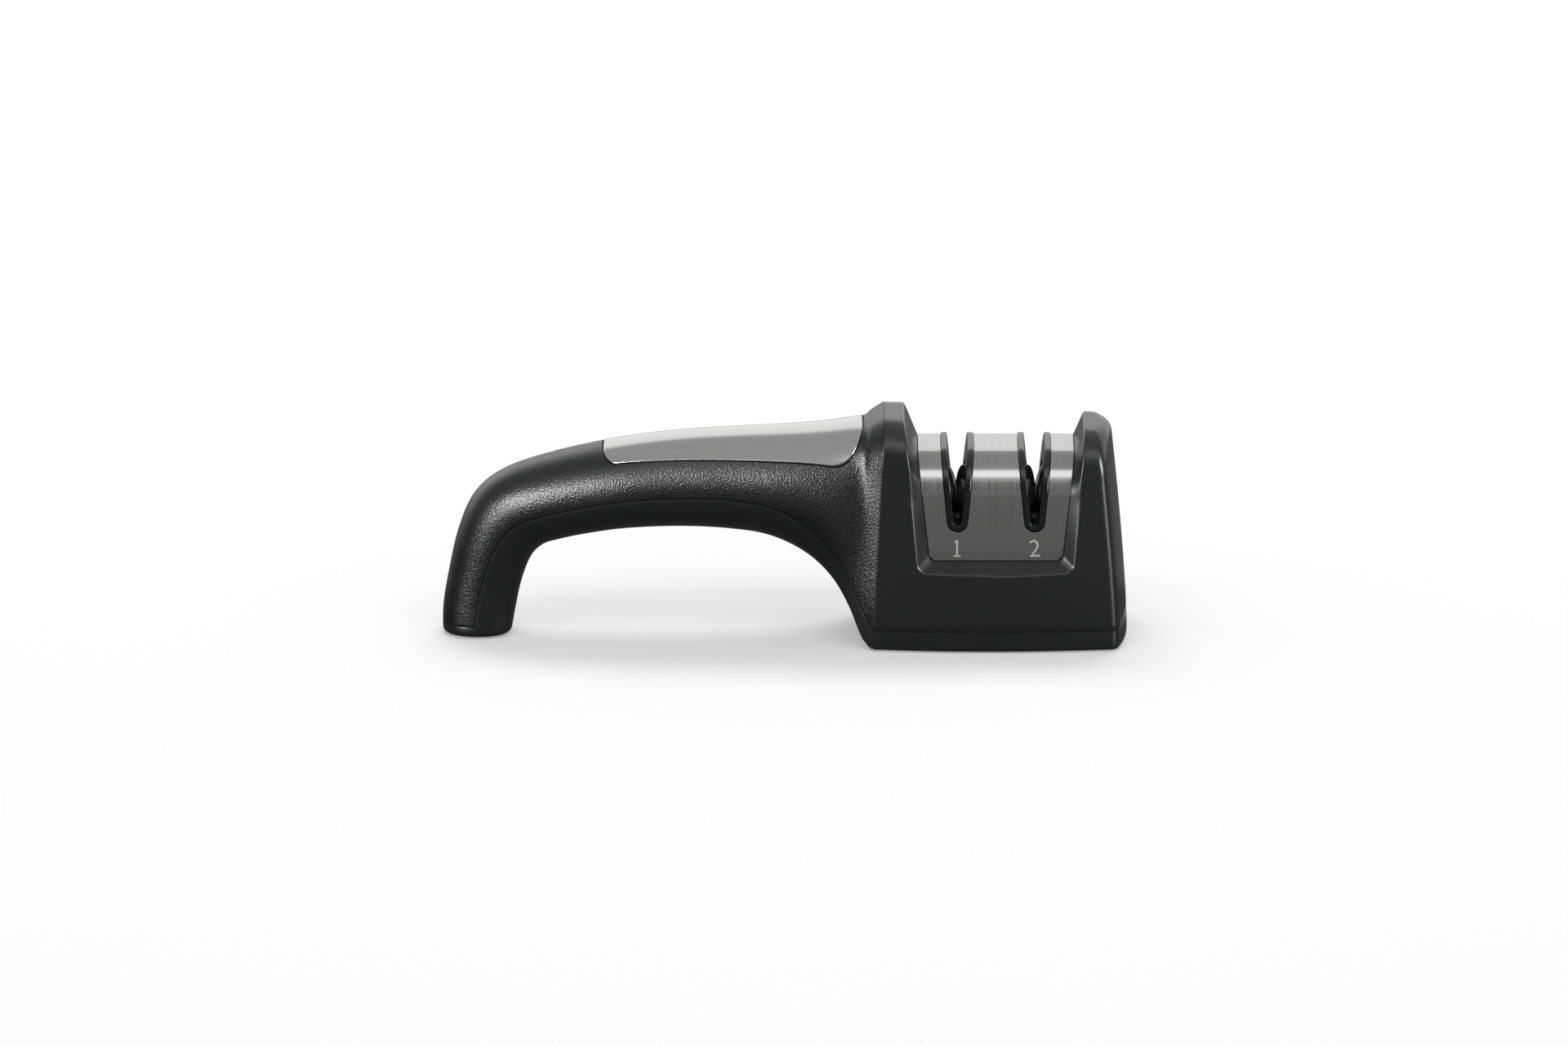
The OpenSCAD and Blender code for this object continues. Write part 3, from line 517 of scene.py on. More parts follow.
# %% Skin of the block
X_SADDLE, SADDLE_HALF, SADDLE_TOP, SADDLE_LOW = 64.6, 20.3, 59.9, 27.8
SHEET_T, BEZEL_W, BEZEL_LOW, FIN_SLOPE, FIT = 0.8, 3.9, 2.9, 0.42, 0.2
SHEET_HALF, SHEET_NARROWS, SHEET_CUT = 23.9, 3.6, 1.5


def top_at(x):
    return mix(FIN_H, END_FIN_H, (x - X_HEAD) / (HEAD_L - 8))


def half_width(z):
    z_shoulder = FIN_H - SHOULDER_R
    if z < z_shoulder:
        return mix(HALF_BASE, HALF_SHOULDER, z / z_shoulder)
    return HALF_SHOULDER - SHOULDER_R + math.sqrt(max(0, SHOULDER_R ** 2 - (z - z_shoulder) ** 2))


def lean_back(f):
    """How far the free end has leant back at this share of its height."""
    return END_LEAN * max(0, f - 0.06) ** 1.35


def skin_end(y, z):
    """X of the bowed free end at a place on it."""
    f = z / END_FIN_H
    share = clamp(abs(y) / max(1, half_width(f * FIN_H) - 0.8 * CORNER_R), 0, 1)
    return X_END - lean_back(f) - END_BOW * 1.05 * share ** 2


def skin_half(x, z):
    f = z / top_at(x)
    w, x_low = half_width(f * FIN_H), X_HEAD + CREASE_LEAN * f
    x_high = X_END - lean_back(f) - END_BOW - CORNER_R
    t = clamp((x - x_low) / (x_high - x_low), 0, 1)
    return w + SIDE_BOW * clamp(w / HALF_SHOULDER, 0, 1) * (1 - (2 * t - 1) ** 2) * (1 - 0.12 * t)


# %% The path over the saddle
def path_point(step):
    """step is ("front", z), ("arc", degrees) or ("top", y): a point and its outward direction."""
    kind, value = step
    r = SHOULDER_R
    if kind == "front":
        return (-SADDLE_HALF, value), (-1.0, 0.0)
    if kind == "top":
        return (value, SADDLE_TOP), (0.0, 1.0)
    a = math.radians(value)
    return ((r - SADDLE_HALF - r * math.cos(a), SADDLE_TOP - r + r * math.sin(a)),
            (-math.cos(a), math.sin(a)))


def skin_depth(point, out, x):
    def inside(d):
        y, z = point[0] + out[0] * d, point[1] + out[1] * d
        return z < top_at(x) and -y < skin_half(x, z)
    return halve(inside, -1, 22, 22)


def half_len(z):
    """Half the length of the saddle's bed, which narrows towards its lower edge."""
    return SHEET_HALF - SHEET_NARROWS * (SADDLE_TOP - z) / (SADDLE_TOP - SADDLE_LOW)


def smooth_min(a, b, k):
    h = max(k - abs(a - b), 0) / k
    return min(a, b) - h * h * k / 4


# %% One row of the head
COLUMN_CELLS = [3, 7, 3, 3, 6, 1, 1, 4, 14, 4, 1, 1, 6, 3, 3, 6]


def head_row(step, edge=0.0):
    point, out = path_point(step)
    arc = step[1] / 90 if step[0] == "arc" else float(step[0] == "top")
    half = half_len(clamp(point[1], 0, SADDLE_TOP)) + FIT
    deep = [skin_depth(point, out, X_SADDLE + s * half) for s in (-1, 1)]
    border = [mix(BEZEL_W, FIN_SLOPE * d, arc) for d in deep]
    low = X_HEAD
    for _ in range(5):
        low = X_HEAD + CREASE_LEAN * (point[1] + out[1] * skin_depth(point, out, low)) / FIN_H
    reach = skin_depth(point, out, X_END - 12)
    last = [point[0] + out[0] * reach, point[1] + out[1] * reach]
    high = skin_end(*last) - CORNER_R
    i_l, i_r = X_SADDLE - half, X_SADDLE + half
    o_l, o_r = i_l - border[0], i_r + border[1]
    columns = spread([low, low + 0.4, o_l - 0.7, o_l, o_l + 0.7, i_l - 0.1, i_l, i_l + 0.12,
                      i_l + 2, i_r - 2, i_r - 0.12, i_r, i_r + 0.1, o_r - 0.7, o_r, o_r + 0.7,
                      high], COLUMN_CELLS)
    row = []
    for x in columns:
        skin = skin_depth(point, out, x) - edge - 0.15 * clamp(1 - (x - low) / 0.4, 0, 1) ** 2
        slope = border_depth(x, step, half, deep, border)
        row.append((x, smooth_min(skin, slope, mix(0.5, 1.3, arc))))
    skin = skin_depth(point, out, high) - edge
    for k in range(1, 9):
        turn = math.radians(11.25 * k)
        d = skin - CORNER_R * (1 - math.cos(turn))
        y, z = point[0] + out[0] * d, point[1] + out[1] * d
        row.append((skin_end(y, z) - CORNER_R * (1 - math.sin(turn)), d))
    row = [Vector((x, point[0] + out[0] * d, point[1] + out[1] * d)) for x, d in row]
    return end_face(row)


# %% The sloping border and the end face
def border_depth(x, step, half, deep, border):
    side = 0 if x < X_SADDLE else 1
    past_side = abs(x - X_SADDLE) - half
    slopes = [past_side / border[side]]
    if step[0] == "front":
        past_low = SADDLE_LOW - FIT - step[1]
        slopes += [past_low / BEZEL_LOW,
                   (past_side + past_low + SHEET_CUT)
                   / (SHEET_CUT + 0.8 * (border[side] + BEZEL_LOW))]
    depth = -smooth_min(-max(slopes[:2]), -slopes[-1], 0.08) * deep[side]
    return depth if depth > 0 else max(8 * depth, -SHEET_T - 0.3)


def end_face(row):
    rim = row[-1]
    for k in (0.1, 0.22, 0.4, 0.6, 0.8, 1.0):
        y, z = mix(rim.y, 0, k), mix(rim.z, 33, k)
        row.append(Vector((skin_end(y, z), y, z)))
    return row


# %% Lay the head
front_rows = spread([6.67, 14, 22.8, 27.6, 27.75, 30.2, 47.9], [4, 6, 17, 1, 5, 10])
half_rows = [head_row(("front", BASE_H + SEAM), EDGE)]
half_rows += [head_row(("front", z)) for z in front_rows]
half_rows += [head_row(("arc", 90 * k / 15)) for k in range(1, 16)]
half_rows += [head_row(("top", y)) for y in (-7.5, -5, -2.5, 0)]
back_rows = [[Vector((p.x, -p.y, p.z)) for p in row] for row in reversed(half_rows[:-1])]
across = [end_face([Vector((a.x, mix(b.y, a.y, k / 6), a.z)) for a, b in
                    zip(half_rows[0][:-6], back_rows[-1][:-6])]) for k in range(1, 7)]
head_shell = lay_grid("head_shell", half_rows + back_rows + across)
print("head rows:", len(half_rows + back_rows + across), "columns:", len(half_rows[0]))


# %% [markdown]
# ## Slots and the room inside
# Two U-shaped slots run right through the head from front to back. A cutter is drawn as a flat
# outline, filled and pulled along Y. The room for the disc carriers is a plain box.

# %% U-shaped cutter
SLOTS = (52.8, 76.4)
SLOT_R, SLOT_Z, SLOT_SLOPE = 3.25, 39.95, 5.4
ROOM = ((42.4, -14.2, 10), (86.8, 14.2, 55))


def u_side(r, z_centre, slope, z):
    """Half width of a U with sloping sides at a height above its round bottom."""
    a = math.radians(slope)
    return r * math.cos(a) + (z - z_centre + r * math.sin(a)) * math.tan(a)


def u_cutter(name, x, r, z_centre, slope, top=76.0, half_depth=32.0):
    a = math.radians(slope)
    turns = [math.pi + a + (math.pi - 2 * a) * k / 28 for k in range(29)]
    side = u_side(r, z_centre, slope, top)
    points = [(x - side, top)] + [(x + r * math.cos(t), z_centre + r * math.sin(t)) for t in turns]
    points.append((x + side, top))
    bm = bmesh.new()
    face = bm.faces.new([bm.verts.new(Vector((px, -half_depth, pz)) * MM) for px, pz in points])
    pulled = bmesh.ops.extrude_face_region(bm, geom=[face])
    moved = [v for v in pulled["geom"] if isinstance(v, bmesh.types.BMVert)]
    bmesh.ops.translate(bm, verts=moved, vec=(0, 2 * half_depth * MM, 0))
    return make_object(bm, name)


def box_cutter(name, low, high):
    bm = bmesh.new()
    bmesh.ops.create_cube(bm, size=1.0)
    for v in bm.verts:
        v.co = Vector([mix(a, b, c + 0.5) for a, b, c in zip(low, high, v.co)]) * MM
    return make_object(bm, name)


# %% Cut the head
for x in SLOTS:
    carve(head_shell, u_cutter("slot", x, SLOT_R + FIT, SLOT_Z, SLOT_SLOPE))
carve(head_shell, box_cutter("room", *ROOM))
wear(head_shell, satin, "housing", "grained_black", "upper_body")

# %% [markdown]
# ## The base
# The base band closes the head from below. Its outline is the head's own, stacked from the round
# bottom edge to the seam. From below it shows the four sunk screws and the recess for the mat.

# %% Outline of the base
def base_outline(z, inset):
    f = z / FIN_H
    w = mix(HALF_BASE, HALF_SHOULDER, z / (FIN_H - SHOULDER_R)) - inset
    x_low, x_high = X_HEAD + CREASE_LEAN * f + inset, skin_end(99, z) - CORNER_R
    side = [(mix(x_low, x_high, k / 30), -w - SIDE_BOW * (1 - (k / 15 - 1) ** 2) * (1 - 0.004 * k))
            for k in range(31)]
    r = CORNER_R - inset
    corner = [(x_high + r * math.sin(a), -w + r - r * math.cos(a))
              for a in [math.radians(9 * k) for k in range(1, 11)]]
    y_end = -w + r
    end = [(skin_end(y_end * (1 - k / 8), z) - inset, y_end * (1 - k / 8)) for k in range(1, 8)]
    end.append((skin_end(0, z) - inset, 0))
    half = side + corner + end
    ring = half + [(x, -y) for x, y in reversed(half[:-1])]
    return [Vector((x, y, z)) for x, y in ring + ring[:1]]


BASE_R = 1.1
rings = [base_outline(Z_LOW + BASE_R * (1 - math.cos(math.radians(15 * k))),
                      BASE_R * (1 - math.sin(math.radians(15 * k)))) for k in range(7)]
rings += [base_outline(3.5, 0), base_outline(BASE_H - EDGE, 0), base_outline(BASE_H, EDGE)]
base_tray = lay_grid("base_tray", rings)

# %% Sink the screws and the mat
SCREW_X, SCREW_Y, SINK_R, SINK_Z = (37.1, 92.0), 17.4, 3.0, 2.0
MAT_LOW, MAT_HIGH, MAT_HALF = 41.6, 87.6, 17
for x in SCREW_X:
    for y in (-SCREW_Y, SCREW_Y):
        carve(base_tray, drum("sink", x, y, SINK_R, -1, SINK_Z))
carve(base_tray, box_cutter("mat_recess", (MAT_LOW - RUBBER_GAP, -MAT_HALF - RUBBER_GAP, -1),
                            (MAT_HIGH + RUBBER_GAP, MAT_HALF + RUBBER_GAP, RUBBER_T)))
wear(base_tray, satin, "housing", "smooth_black", "lower_body")

# %% [markdown]
# ## The steel saddle
# One sheet 0.8 mm thick, bent over the head, with cut-off lower corners and two U-shaped cut-outs.
# Its rim was sheared and then deburred, so every edge has a tiny bevel. The slots were cut last,
# so the bevel round them is bare and bright.

# %% Sheet with bevelled rim
RIM_BEVEL, SLOT_BEVEL, SLOT_REACH, SHARP_TURN = 0.12, 0.3, 5.4, 0.7


def sheet_half(z):
    return half_len(z) - max(0, SHEET_CUT - (z - SADDLE_LOW))


def sheet_row(step, drop):
    (y, z), out = path_point(step)
    half, row = sheet_half(z), []
    for side in spread([-1, RIM_BEVEL / half - 1, 1 - RIM_BEVEL / half, 1], [1, 70, 1]):
        d = -max(drop, RIM_BEVEL if abs(side) == 1 else 0)
        row.append(Vector((X_SADDLE + side * half, y + out[0] * d, z + out[1] * d)))
    return row


path = [("front", z) for z in spread([SADDLE_LOW + RIM_BEVEL, 29.3, 47.9], [4, 18])]
path += [("arc", 90 * k / 24) for k in range(1, 25)] + [("top", y) for y in (-6, -4, -2, 0)]
outer = [sheet_row(("front", SADDLE_LOW), RIM_BEVEL)] + [sheet_row(p, 0) for p in path]
inner = [sheet_row(("front", SADDLE_LOW), SHEET_T)] + [sheet_row(p, SHEET_T) for p in path]


def both_sides(rows):
    return rows + [[Vector((p.x, -p.y, p.z)) for p in row] for row in reversed(rows[:-1])]


rows = both_sides(outer) + list(reversed(both_sides(inner)))
saddle_sheet = lay_grid("saddle_sheet", rows + rows[:1])


# %% Cut the slots and bevel their edges
def bevel_slot_edges(piece, width):
    bm = bmesh.new()
    bm.from_mesh(piece.data)
    edges = []
    for e in bm.edges:
        if len(e.link_faces) == 2 and e.calc_face_angle() > SHARP_TURN and e.calc_length() > 1e-6:
            middle = (e.verts[0].co + e.verts[1].co) / 2 / MM
            x = min(SLOTS, key=lambda s: abs(s - middle.x))
            if abs(middle.x - x) < SLOT_REACH and middle.z > SADDLE_LOW + 3:
                edges.append(e)
    rim = bmesh.ops.bevel(bm, geom=edges, offset=width * MM, segments=2, profile=0.5,
                          affect="EDGES", material=-1, clamp_overlap=True)
    for face in rim["faces"]:
        face.material_index = 1
    bm.to_mesh(piece.data)
    bm.free()
    shade(piece, 40)
    print("bevelled", len(edges), "edges")


for x in SLOTS:
    carve(saddle_sheet, u_cutter("slot", x, SLOT_R, SLOT_Z, SLOT_SLOPE))
wear(saddle_sheet, saddle_steel, "housing", "brushed_steel", "saddle_plate")
saddle_sheet.data.materials.append(cut_steel)
bevel_slot_edges(saddle_sheet, SLOT_BEVEL)

# %% [markdown]
# ## The numbers under the slots
# Each stage has its number etched pale on the steel. The 1 is drawn as an outline and the 2 is a
# text made into a mesh. Then both are turned upright onto the saddle's front.

# %% Etched numbers
NUMBER_H, NUMBER_Z, NUMBER_T = 5.3, 29.05, 0.02


def stand_on_front(name, mesh, x):
    """Turns a flat mesh upright, brings it to its height and lays it on the saddle's front."""
    mesh.transform(Matrix.Rotation(math.radians(90), 4, "X"))
    low, high = (f(v.co.z for v in mesh.vertices) for f in (min, max))
    middle = (min(v.co.x for v in mesh.vertices) + max(v.co.x for v in mesh.vertices)) / 2
    mesh.transform(Matrix.Translation((-middle, 0, -low)))
    mesh.transform(Matrix.Scale(NUMBER_H / (high - low), 4))
    mesh.transform(Matrix.Translation((x, -SADDLE_HALF, NUMBER_Z)))
    mesh.transform(Matrix.Scale(MM, 4))
    piece = bpy.data.objects.new(name, mesh)
    scene.collection.objects.link(piece)
    wear(piece, etched, "housing", "handle_steel")


def figure_one():
    """A stem with a flag and a foot: one flat outline, pulled to a hair's thickness."""
    points = [(-1.1, 0), (1.1, 0), (1.1, 0.42), (0.3, 0.42), (0.3, 5.3), (-0.1, 5.3), (-1.0, 4.55),
              (-0.85, 4.2), (-0.3, 4.62), (-0.3, 0.42), (-1.1, 0.42)]
    bm = bmesh.new()
    face = bm.faces.new([bm.verts.new((x, y, -NUMBER_T)) for x, y in points])
    pulled = bmesh.ops.extrude_face_region(bm, geom=[face])
    moved = [v for v in pulled["geom"] if isinstance(v, bmesh.types.BMVert)]
    bmesh.ops.translate(bm, verts=moved, vec=(0, 0, 2 * NUMBER_T))
    bmesh.ops.recalc_face_normals(bm, faces=bm.faces)
    mesh = bpy.data.meshes.new("number_one")
    bm.to_mesh(mesh)
    bm.free()
    return mesh


def figure_two():
    text = bpy.data.curves.new("two", "FONT")
    text.body, text.size, text.extrude, text.offset = "2", 7.3, NUMBER_T, -0.06
    source = bpy.data.objects.new("two_text", text)
    scene.collection.objects.link(source)
    bpy.context.view_layer.update()
    mesh = bpy.data.meshes.new_from_object(source)
    bpy.data.objects.remove(source)
    mesh.name = "number_two"
    return mesh


stand_on_front("number_one", figure_one(), SLOTS[0] - 0.1)
stand_on_front("number_two", figure_two(), SLOTS[1])

# %% [markdown]
# ## Slot liners
# Each liner is one closed loop: down the front in a U, and over the top on both sides to the back.
# Its section is a small block with rounded front edges that stands half a millimetre proud of
# the steel and reaches well into the slot. The same section is laid along the whole loop.

# %% Section and loop of a liner
LINER_R, LINER_Z, LINER_SLOPE, LINER_W, LINER_PROUD = 2.125, 40.07, 5.55, 1.85, 0.5
LINER_IN_R, LINER_OUT_R = 0.32, 0.42
LINER_DEEP, LINER_SHALLOW = 9.5, 6.8


def liner_section(depth):
    """(across, out) pairs: across is away from the slot, out is off the steel."""
    half, turns = LINER_W / 2, [math.radians(15 * k) for k in range(7)]
    inner = [(LINER_IN_R * (1 - math.cos(a)) - half, LINER_PROUD - LINER_IN_R * (1 - math.sin(a)))
             for a in turns]
    outer = [(half - LINER_OUT_R * (1 - math.sin(a)),
              LINER_PROUD - LINER_OUT_R * (1 - math.cos(a))) for a in turns]
    return [(-half, -depth)] + inner + outer + [(half, -depth), (-half, -depth)]


def side_ring(x, side, step, depth):
    (y, z), out = path_point(step)
    ring = []
    for across, off in liner_section(depth):
        py, pz = y + out[0] * off, z + out[1] * off
        wide = u_side(LINER_R, LINER_Z, LINER_SLOPE, pz) + across
        ring.append(Vector((x + side * wide, py, pz)))
    return ring


def arc_ring(x, turn, depth):
    return [Vector((x + (LINER_R + across) * math.cos(turn), -SADDLE_HALF - off,
                    LINER_Z + (LINER_R + across) * math.sin(turn)))
            for across, off in liner_section(depth)]


# %% Lay the two liners
def liner(name, x, node):
    slope = math.radians(LINER_SLOPE)
    straight = [("front", z) for z in spread([40.4, 47.9], [5])]
    climb = straight + [("arc", 90 * k / 16) for k in range(1, 17)] + [("top", -4), ("top", 0)]
    depths = [mix(LINER_DEEP, LINER_SHALLOW, clamp((k - 5) / 16, 0, 1))
              for k in range(len(climb))]
    left = [side_ring(x, -1, p, d) for p, d in zip(climb, depths)]
    right = [side_ring(x, 1, p, d) for p, d in zip(climb, depths)]
    bottom = [arc_ring(x, math.pi + slope + (math.pi - 2 * slope) * k / 20, LINER_DEEP)
              for k in range(21)]

    def mirrored(rings):
        return [[Vector((p.x, -p.y, p.z)) for p in ring] for ring in rings]

    loop = bottom + right + mirrored(reversed(right[:-1])) + mirrored(reversed(bottom))
    loop += mirrored(left) + list(reversed(left[:-1]))
    piece = lay_grid(name, loop + loop[:1], 50)
    wear(piece, liner_nylon, "housing", "guide_black", node)


liner("liner_1", SLOTS[0], "knife_guide_1")
liner("liner_2", SLOTS[1], "knife_guide_2")

# %% [markdown]
# ## The abrasive discs
# A disc is turned like a washer: a profile with rounded rims is spun round the X axis, then the
# disc is leant and turned to its place in the slot, where it rides on its own body.

# %% Spin the four discs
DISC_R, DISC_T, DISC_IN, DISC_Z, DISC_LEAN, DISC_YAW = 7.4, 1.0, 1.53, 45.1, 5.7, 15.2
DISC_BORE, DISC_FLAT, BORE_BEVEL, RIM_R = 3.03, 5.2, 0.1, 0.22


def disc(name, slot_x, side, yaw, material, body, slot):
    rim = [(RIM_R * (1 - math.sin(a)), DISC_R - RIM_R * (1 - math.cos(a)))
           for a in map(math.radians, (90, 60, 30, 0))]
    profile = [(DISC_T / 2, DISC_BORE), (BORE_BEVEL, DISC_BORE), (0, DISC_BORE + BORE_BEVEL),
               (0, DISC_FLAT)] + rim + [(DISC_T / 2, DISC_R)]
    profile += [(DISC_T - x, y) for x, y in reversed(profile[:-1])]
    bm = bmesh.new()
    verts = [bm.verts.new((x * MM, y * MM, 0)) for x, y in profile]
    edges = [bm.edges.new(pair) for pair in zip(verts, verts[1:])]
    bmesh.ops.spin(bm, geom=verts + edges, cent=(0, 0, 0), axis=(1, 0, 0), angle=2 * math.pi,
                   steps=128, use_merge=True)
    turn = Matrix.Rotation(math.radians(yaw + (180 if side < 0 else 0)), 4, "Z")
    place = (Matrix.Translation(Vector((slot_x + side * DISC_IN, 0, DISC_Z)) * MM) @ turn
             @ Matrix.Rotation(math.radians(DISC_LEAN), 4, "Y"))
    bmesh.ops.transform(bm, matrix=place, verts=bm.verts)
    piece = make_object(bm, name + "_turned", 50)
    wear(piece, material, body, slot, name)


for stage, x, yaw, grit in (("coarse", SLOTS[0], DISC_YAW, coarse_grit),
                            ("fine", SLOTS[1], -DISC_YAW, fine_grit)):
    for word, side in (("left", -1), ("right", 1)):
        disc(f"{stage}_disc_{word}", x, side, yaw, grit, f"{stage}_wheel_{word}",
             f"{stage}_abrasive")

# %% [markdown]
# ## Rubber feet
# The mat under the head is a moulded slab with soft edges and shallow grooves. The pad under the
# leg is a plain round button with a rounded rim.

# %% Mat and pad
def rubber_slab(name, slab, node):
    """Rounds the sharp edges of a plain slab and throws the plain one away."""
    bm = bmesh.new()
    bm.from_mesh(slab.data)
    bpy.data.objects.remove(slab)
    sharp = [e for e in bm.edges if e.calc_face_angle(0) > 1]
    bmesh.ops.bevel(bm, geom=sharp, offset=0.3 * MM, segments=3, profile=0.5, affect="EDGES",
                    material=-1, clamp_overlap=True)
    wear(make_object(bm, name, 40), rubber, "housing", "rubber", node)


GROOVES, GROOVE_W, GROOVE_STEP, GROOVE_DEPTH, GROOVE_Y = 9, 2.0, 4.7, 0.35, 15
mat = box_cutter("mat", (MAT_LOW, -MAT_HALF, 0), (MAT_HIGH, MAT_HALF, RUBBER_T))
for k in range(GROOVES):
    x = MAT_LOW + 3 + GROOVE_STEP * k
    carve(mat, box_cutter("groove", (x, -GROOVE_Y, -1), (x + GROOVE_W, GROOVE_Y, GROOVE_DEPTH)))
rubber_slab("mat_slab", mat, "base_mat")
rubber_slab("leg_button", drum("pad", LEG_X, 0, PAD_R, 0, RUBBER_T), "leg_pad")

# %% [markdown]
# ## Pieces that keep their CAD shape
# The carriers, hubs, pins and screws are right as they are, so each only gets its finish.

# %% Finish the CAD pieces
FINISHES = {"disc_carrier": carrier_nylon, "_hub_": acetal, "_axle_": zinc, "screw": zinc}
for name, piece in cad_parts.items():
    for word, material in FINISHES.items():
        if word in name:
            piece.data.materials.clear()
            piece.data.materials.append(material)

# %% [markdown]
# ## Camera and studio
# The picture looks straight at the front from a little above, with a long lens. The floor is pale
# and plain, but it throws back less light than it seems to, which keeps the black mouldings dark
# underneath. A wide softbox hangs in front and a smaller one behind. The other lamps only show in
# gloss: a strip on the right, one on the left for the head alone, and a key and a side softbox for
# the grip alone. Steel shows what stands round it, so cards stand for the room's walls, roof and
# cloths, and a dark flag in front gives the steel its grey face.

# %% Camera
ELEVATION, DISTANCE, LENS = math.radians(15.5), 6.0, 449.0
camera = bpy.data.objects.new("camera", bpy.data.cameras.new("camera"))
scene.collection.objects.link(camera)
target = Vector((-0.25, 0, 34.3)) * MM
back = Vector((0, -math.cos(ELEVATION), math.sin(ELEVATION)))
camera.location = target + back * DISTANCE
camera.rotation_euler = (math.pi / 2 - ELEVATION, 0, 0)
camera.data.lens, camera.data.sensor_width = LENS, 36.0
camera.data.clip_end = 30.0
scene.camera = camera


# %% Floor
def plane(name, size, place):
    bm = bmesh.new()
    bmesh.ops.create_grid(bm, x_segments=1, y_segments=1, size=0.5)
    bmesh.ops.scale(bm, vec=(size[0], size[1], 1), verts=bm.verts)
    bmesh.ops.transform(bm, matrix=place, verts=bm.verts)
    mesh = bpy.data.meshes.new(name)
    bm.to_mesh(mesh)
    bm.free()
    piece = bpy.data.objects.new(name, mesh)
    scene.collection.objects.link(piece)
    return piece


floor = plane("floor", (14, 14), Matrix.Identity(4))
floor_paint = bpy.data.materials.new("white floor paint")
floor_paint.use_nodes = True
tree = floor_paint.node_tree
tree.nodes.clear()


def seen_ray(tree):
    """1 for what the camera sees, straight, in a gloss or through glass, and 0 for room light."""
    rays = add(tree, "ShaderNodeLightPath")
    straight = add(tree, "ShaderNodeMath", {0: rays.outputs["Is Camera Ray"],
                   1: rays.outputs["Is Glossy Ray"]}, operation="MAXIMUM")
    return add(tree, "ShaderNodeMath", {0: straight.outputs[0],
               1: rays.outputs["Is Transmission Ray"]}, operation="MAXIMUM").outputs[0]


paint = add(tree, "ShaderNodeBsdfDiffuse", {"Color": srgb("#e8e8e8")})
dim = add(tree, "ShaderNodeBsdfDiffuse", {"Color": srgb("#757575")})
lift = add(tree, "ShaderNodeEmission", {"Color": (1, 1, 1, 1), "Strength": 0.28})
bright = add(tree, "ShaderNodeAddShader", {0: paint.outputs[0], 1: lift.outputs[0]})
choose = add(tree, "ShaderNodeMixShader", {0: seen_ray(tree), 1: dim.outputs[0],
             2: bright.outputs[0]})
add(tree, "ShaderNodeOutputMaterial", {"Surface": choose.outputs[0]})
floor.data.materials.append(floor_paint)


# %% Lights
def soft_light(name, size, place, level, aim=(0, 0, 0.04), gloss_only=False):
    """level is the light's own brightness, where 1 is white."""
    lamp = bpy.data.lights.new(name, "AREA")
    lamp.shape, lamp.size, lamp.size_y = "RECTANGLE", size[0], size[1]
    lamp.energy = level * math.pi * size[0] * size[1]
    piece = bpy.data.objects.new(name, lamp)
    scene.collection.objects.link(piece)
    piece.location = place
    piece.rotation_euler = (Vector(aim) - Vector(place)).to_track_quat("-Z", "Y").to_euler()
    piece.visible_diffuse = not gloss_only
    return piece


def from_angles(around, up, reach):
    """A place seen from the object: degrees to the right of the camera, and up."""
    a, e = math.radians(around), math.radians(up)
    return (reach * math.sin(a) * math.cos(e), -reach * math.cos(a) * math.cos(e),
            reach * math.sin(e) + 0.04)


def flag_off(lamp, *pieces, how="INCLUDE"):
    """Lets a lamp light only these pieces, or all but these, as black flags round it would."""
    lit = bpy.data.collections.new(lamp.name + "_flags")
    for piece in pieces:
        lit.objects.link(piece)
    lamp.light_linking.receiver_collection = lit
    for item in lit.collection_objects:
        item.light_linking.link_state = how


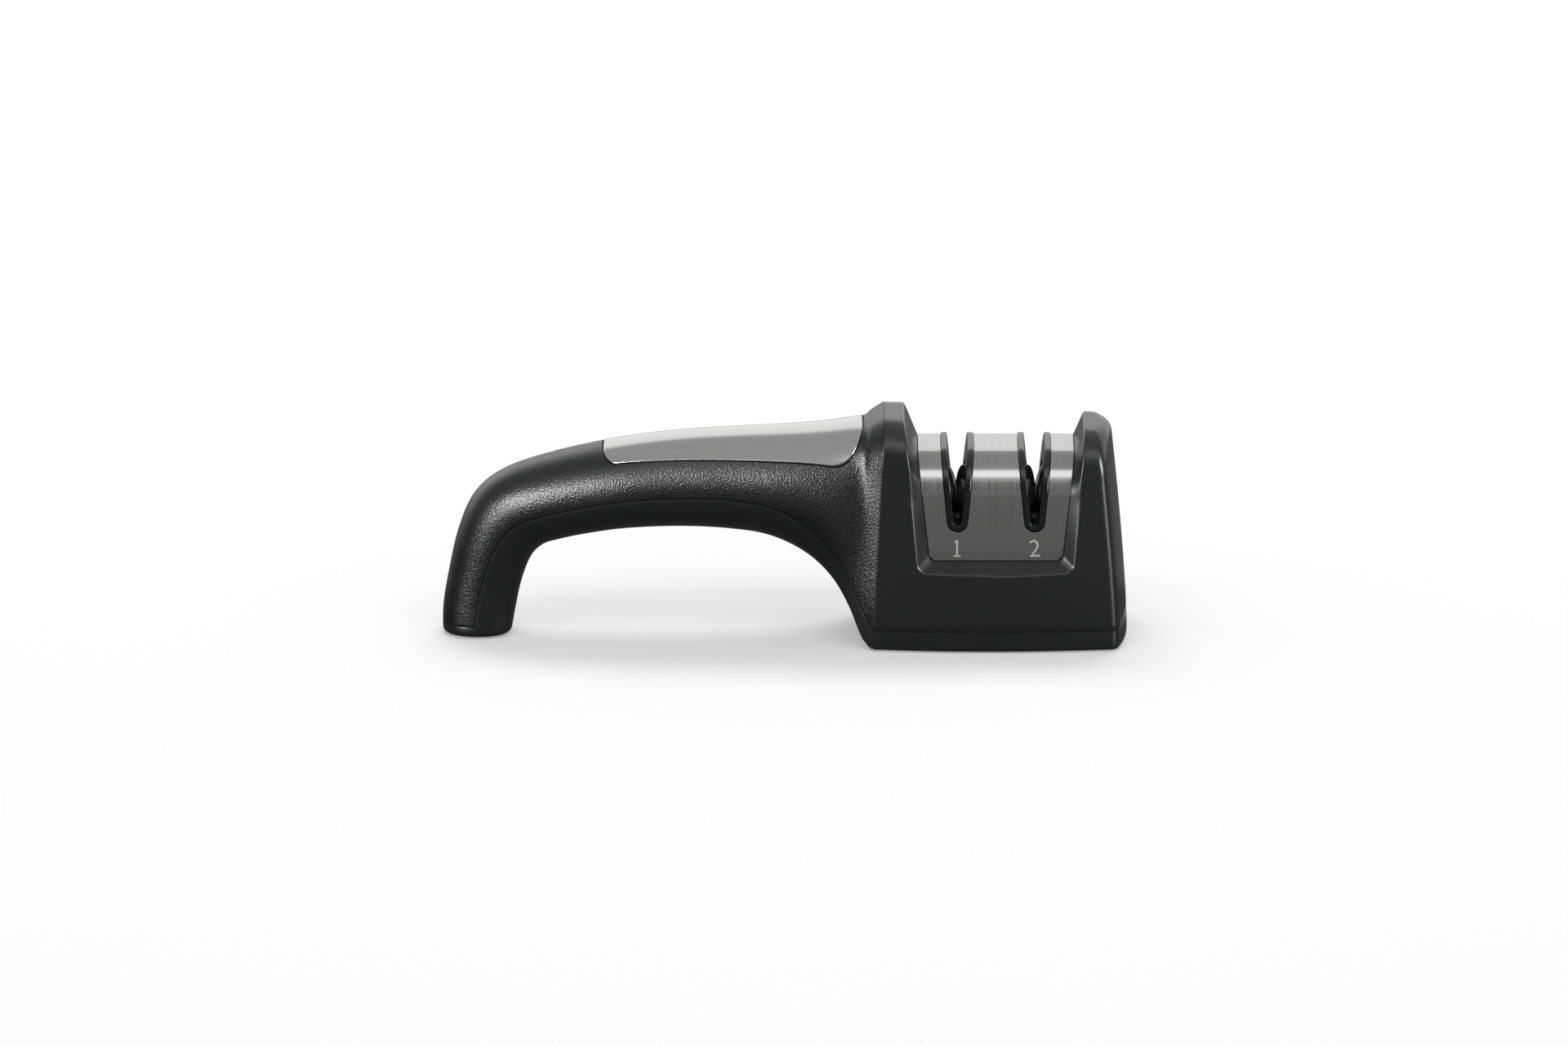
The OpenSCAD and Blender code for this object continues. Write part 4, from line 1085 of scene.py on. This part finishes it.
front = soft_light("front_softbox", (3.6, 1.24), from_angles(0, 55, 3), 1.4)
flag_off(front, handle_inlay, how="EXCLUDE")
soft_light("back_softbox", (2.0, 1.0), from_angles(180, 62, 2.6), 4.0).visible_glossy = False
soft_light("right_strip", (0.26, 0.9), from_angles(57, 12, 1.5), 40.0, gloss_only=True)
key = soft_light("key_softbox", (0.5, 0.24), from_angles(-29, 23, 1.5), 58.0, gloss_only=True)
flag_off(key, grip_upper, grip_lower, handle_inlay)
side = soft_light("side_softbox", (0.34, 0.75), from_angles(-41, 12, 1.5), 21.0, gloss_only=True)
flag_off(side, grip_upper, grip_lower)
left = soft_light("left_strip", (0.26, 0.9), from_angles(-60, 12, 1.5), 30.0, gloss_only=True)
flag_off(left, head_shell, base_tray)

# %% World
world = bpy.data.worlds.new("studio")
world.use_nodes = True
scene.world = world
tree = world.node_tree
tree.nodes.clear()
room = add(tree, "ShaderNodeBackground", {"Color": (1, 1, 1, 1), "Strength": 0.46})
white = add(tree, "ShaderNodeBackground", {"Color": (1, 1, 1, 1), "Strength": 1.0})
choose = add(tree, "ShaderNodeMixShader", {0: seen_ray(tree), 1: room.outputs[0],
             2: white.outputs[0]})
add(tree, "ShaderNodeOutputWorld", {"Surface": choose.outputs[0]})


# %% Cards that only steel and gloss see
def card(name, size, place, aim, level):
    turn = (Vector(aim) - Vector(place)).to_track_quat("Z", "Y").to_matrix().to_4x4()
    piece = plane(name, size, Matrix.Translation(place) @ turn)
    paint = bpy.data.materials.new(name + " paper")
    paint.use_nodes = True
    tree = paint.node_tree
    tree.nodes.clear()
    glow = add(tree, "ShaderNodeEmission", {"Color": (1, 1, 1, 1), "Strength": level})
    add(tree, "ShaderNodeOutputMaterial", {"Surface": glow.outputs[0]})
    paint.cycles.emission_sampling = "NONE"
    piece.data.materials.append(paint)
    for ray in ("camera", "diffuse", "shadow", "transmission", "volume_scatter"):
        setattr(piece, "visible_" + ray, False)


card("back_sheet", (6, 1.1), (0, 1.6, 0.5), (0, 0, 0.5), 1.15)
card("front_flag", (8, 1.35), (0, -2.2, 0.75), (0, 0, 0.75), 0.1)
card("front_wall", (12, 3.4), (0, -4.05, 1.7), (0, 0, 1.7), 0.46)
card("left_wall", (11, 3.4), (-5, 1.5, 1.7), (0, 1.5, 1.7), 0.4)
card("right_wall", (11, 3.4), (5, 1.5, 1.7), (0, 1.5, 1.7), 0.4)
card("roof", (12, 11.2), (0, 1.5, 3.4), (0, 1.5, 0), 0.46)
card("near_cloth", (1.2, 0.16), (0, -0.03, 0.0008), (0, -0.03, 1), 0.09)
card("far_cloth", (8, 5), (0, -0.9, 0.0004), (0, -0.9, 1), 0.2)

scene.view_settings.view_transform = "Standard"
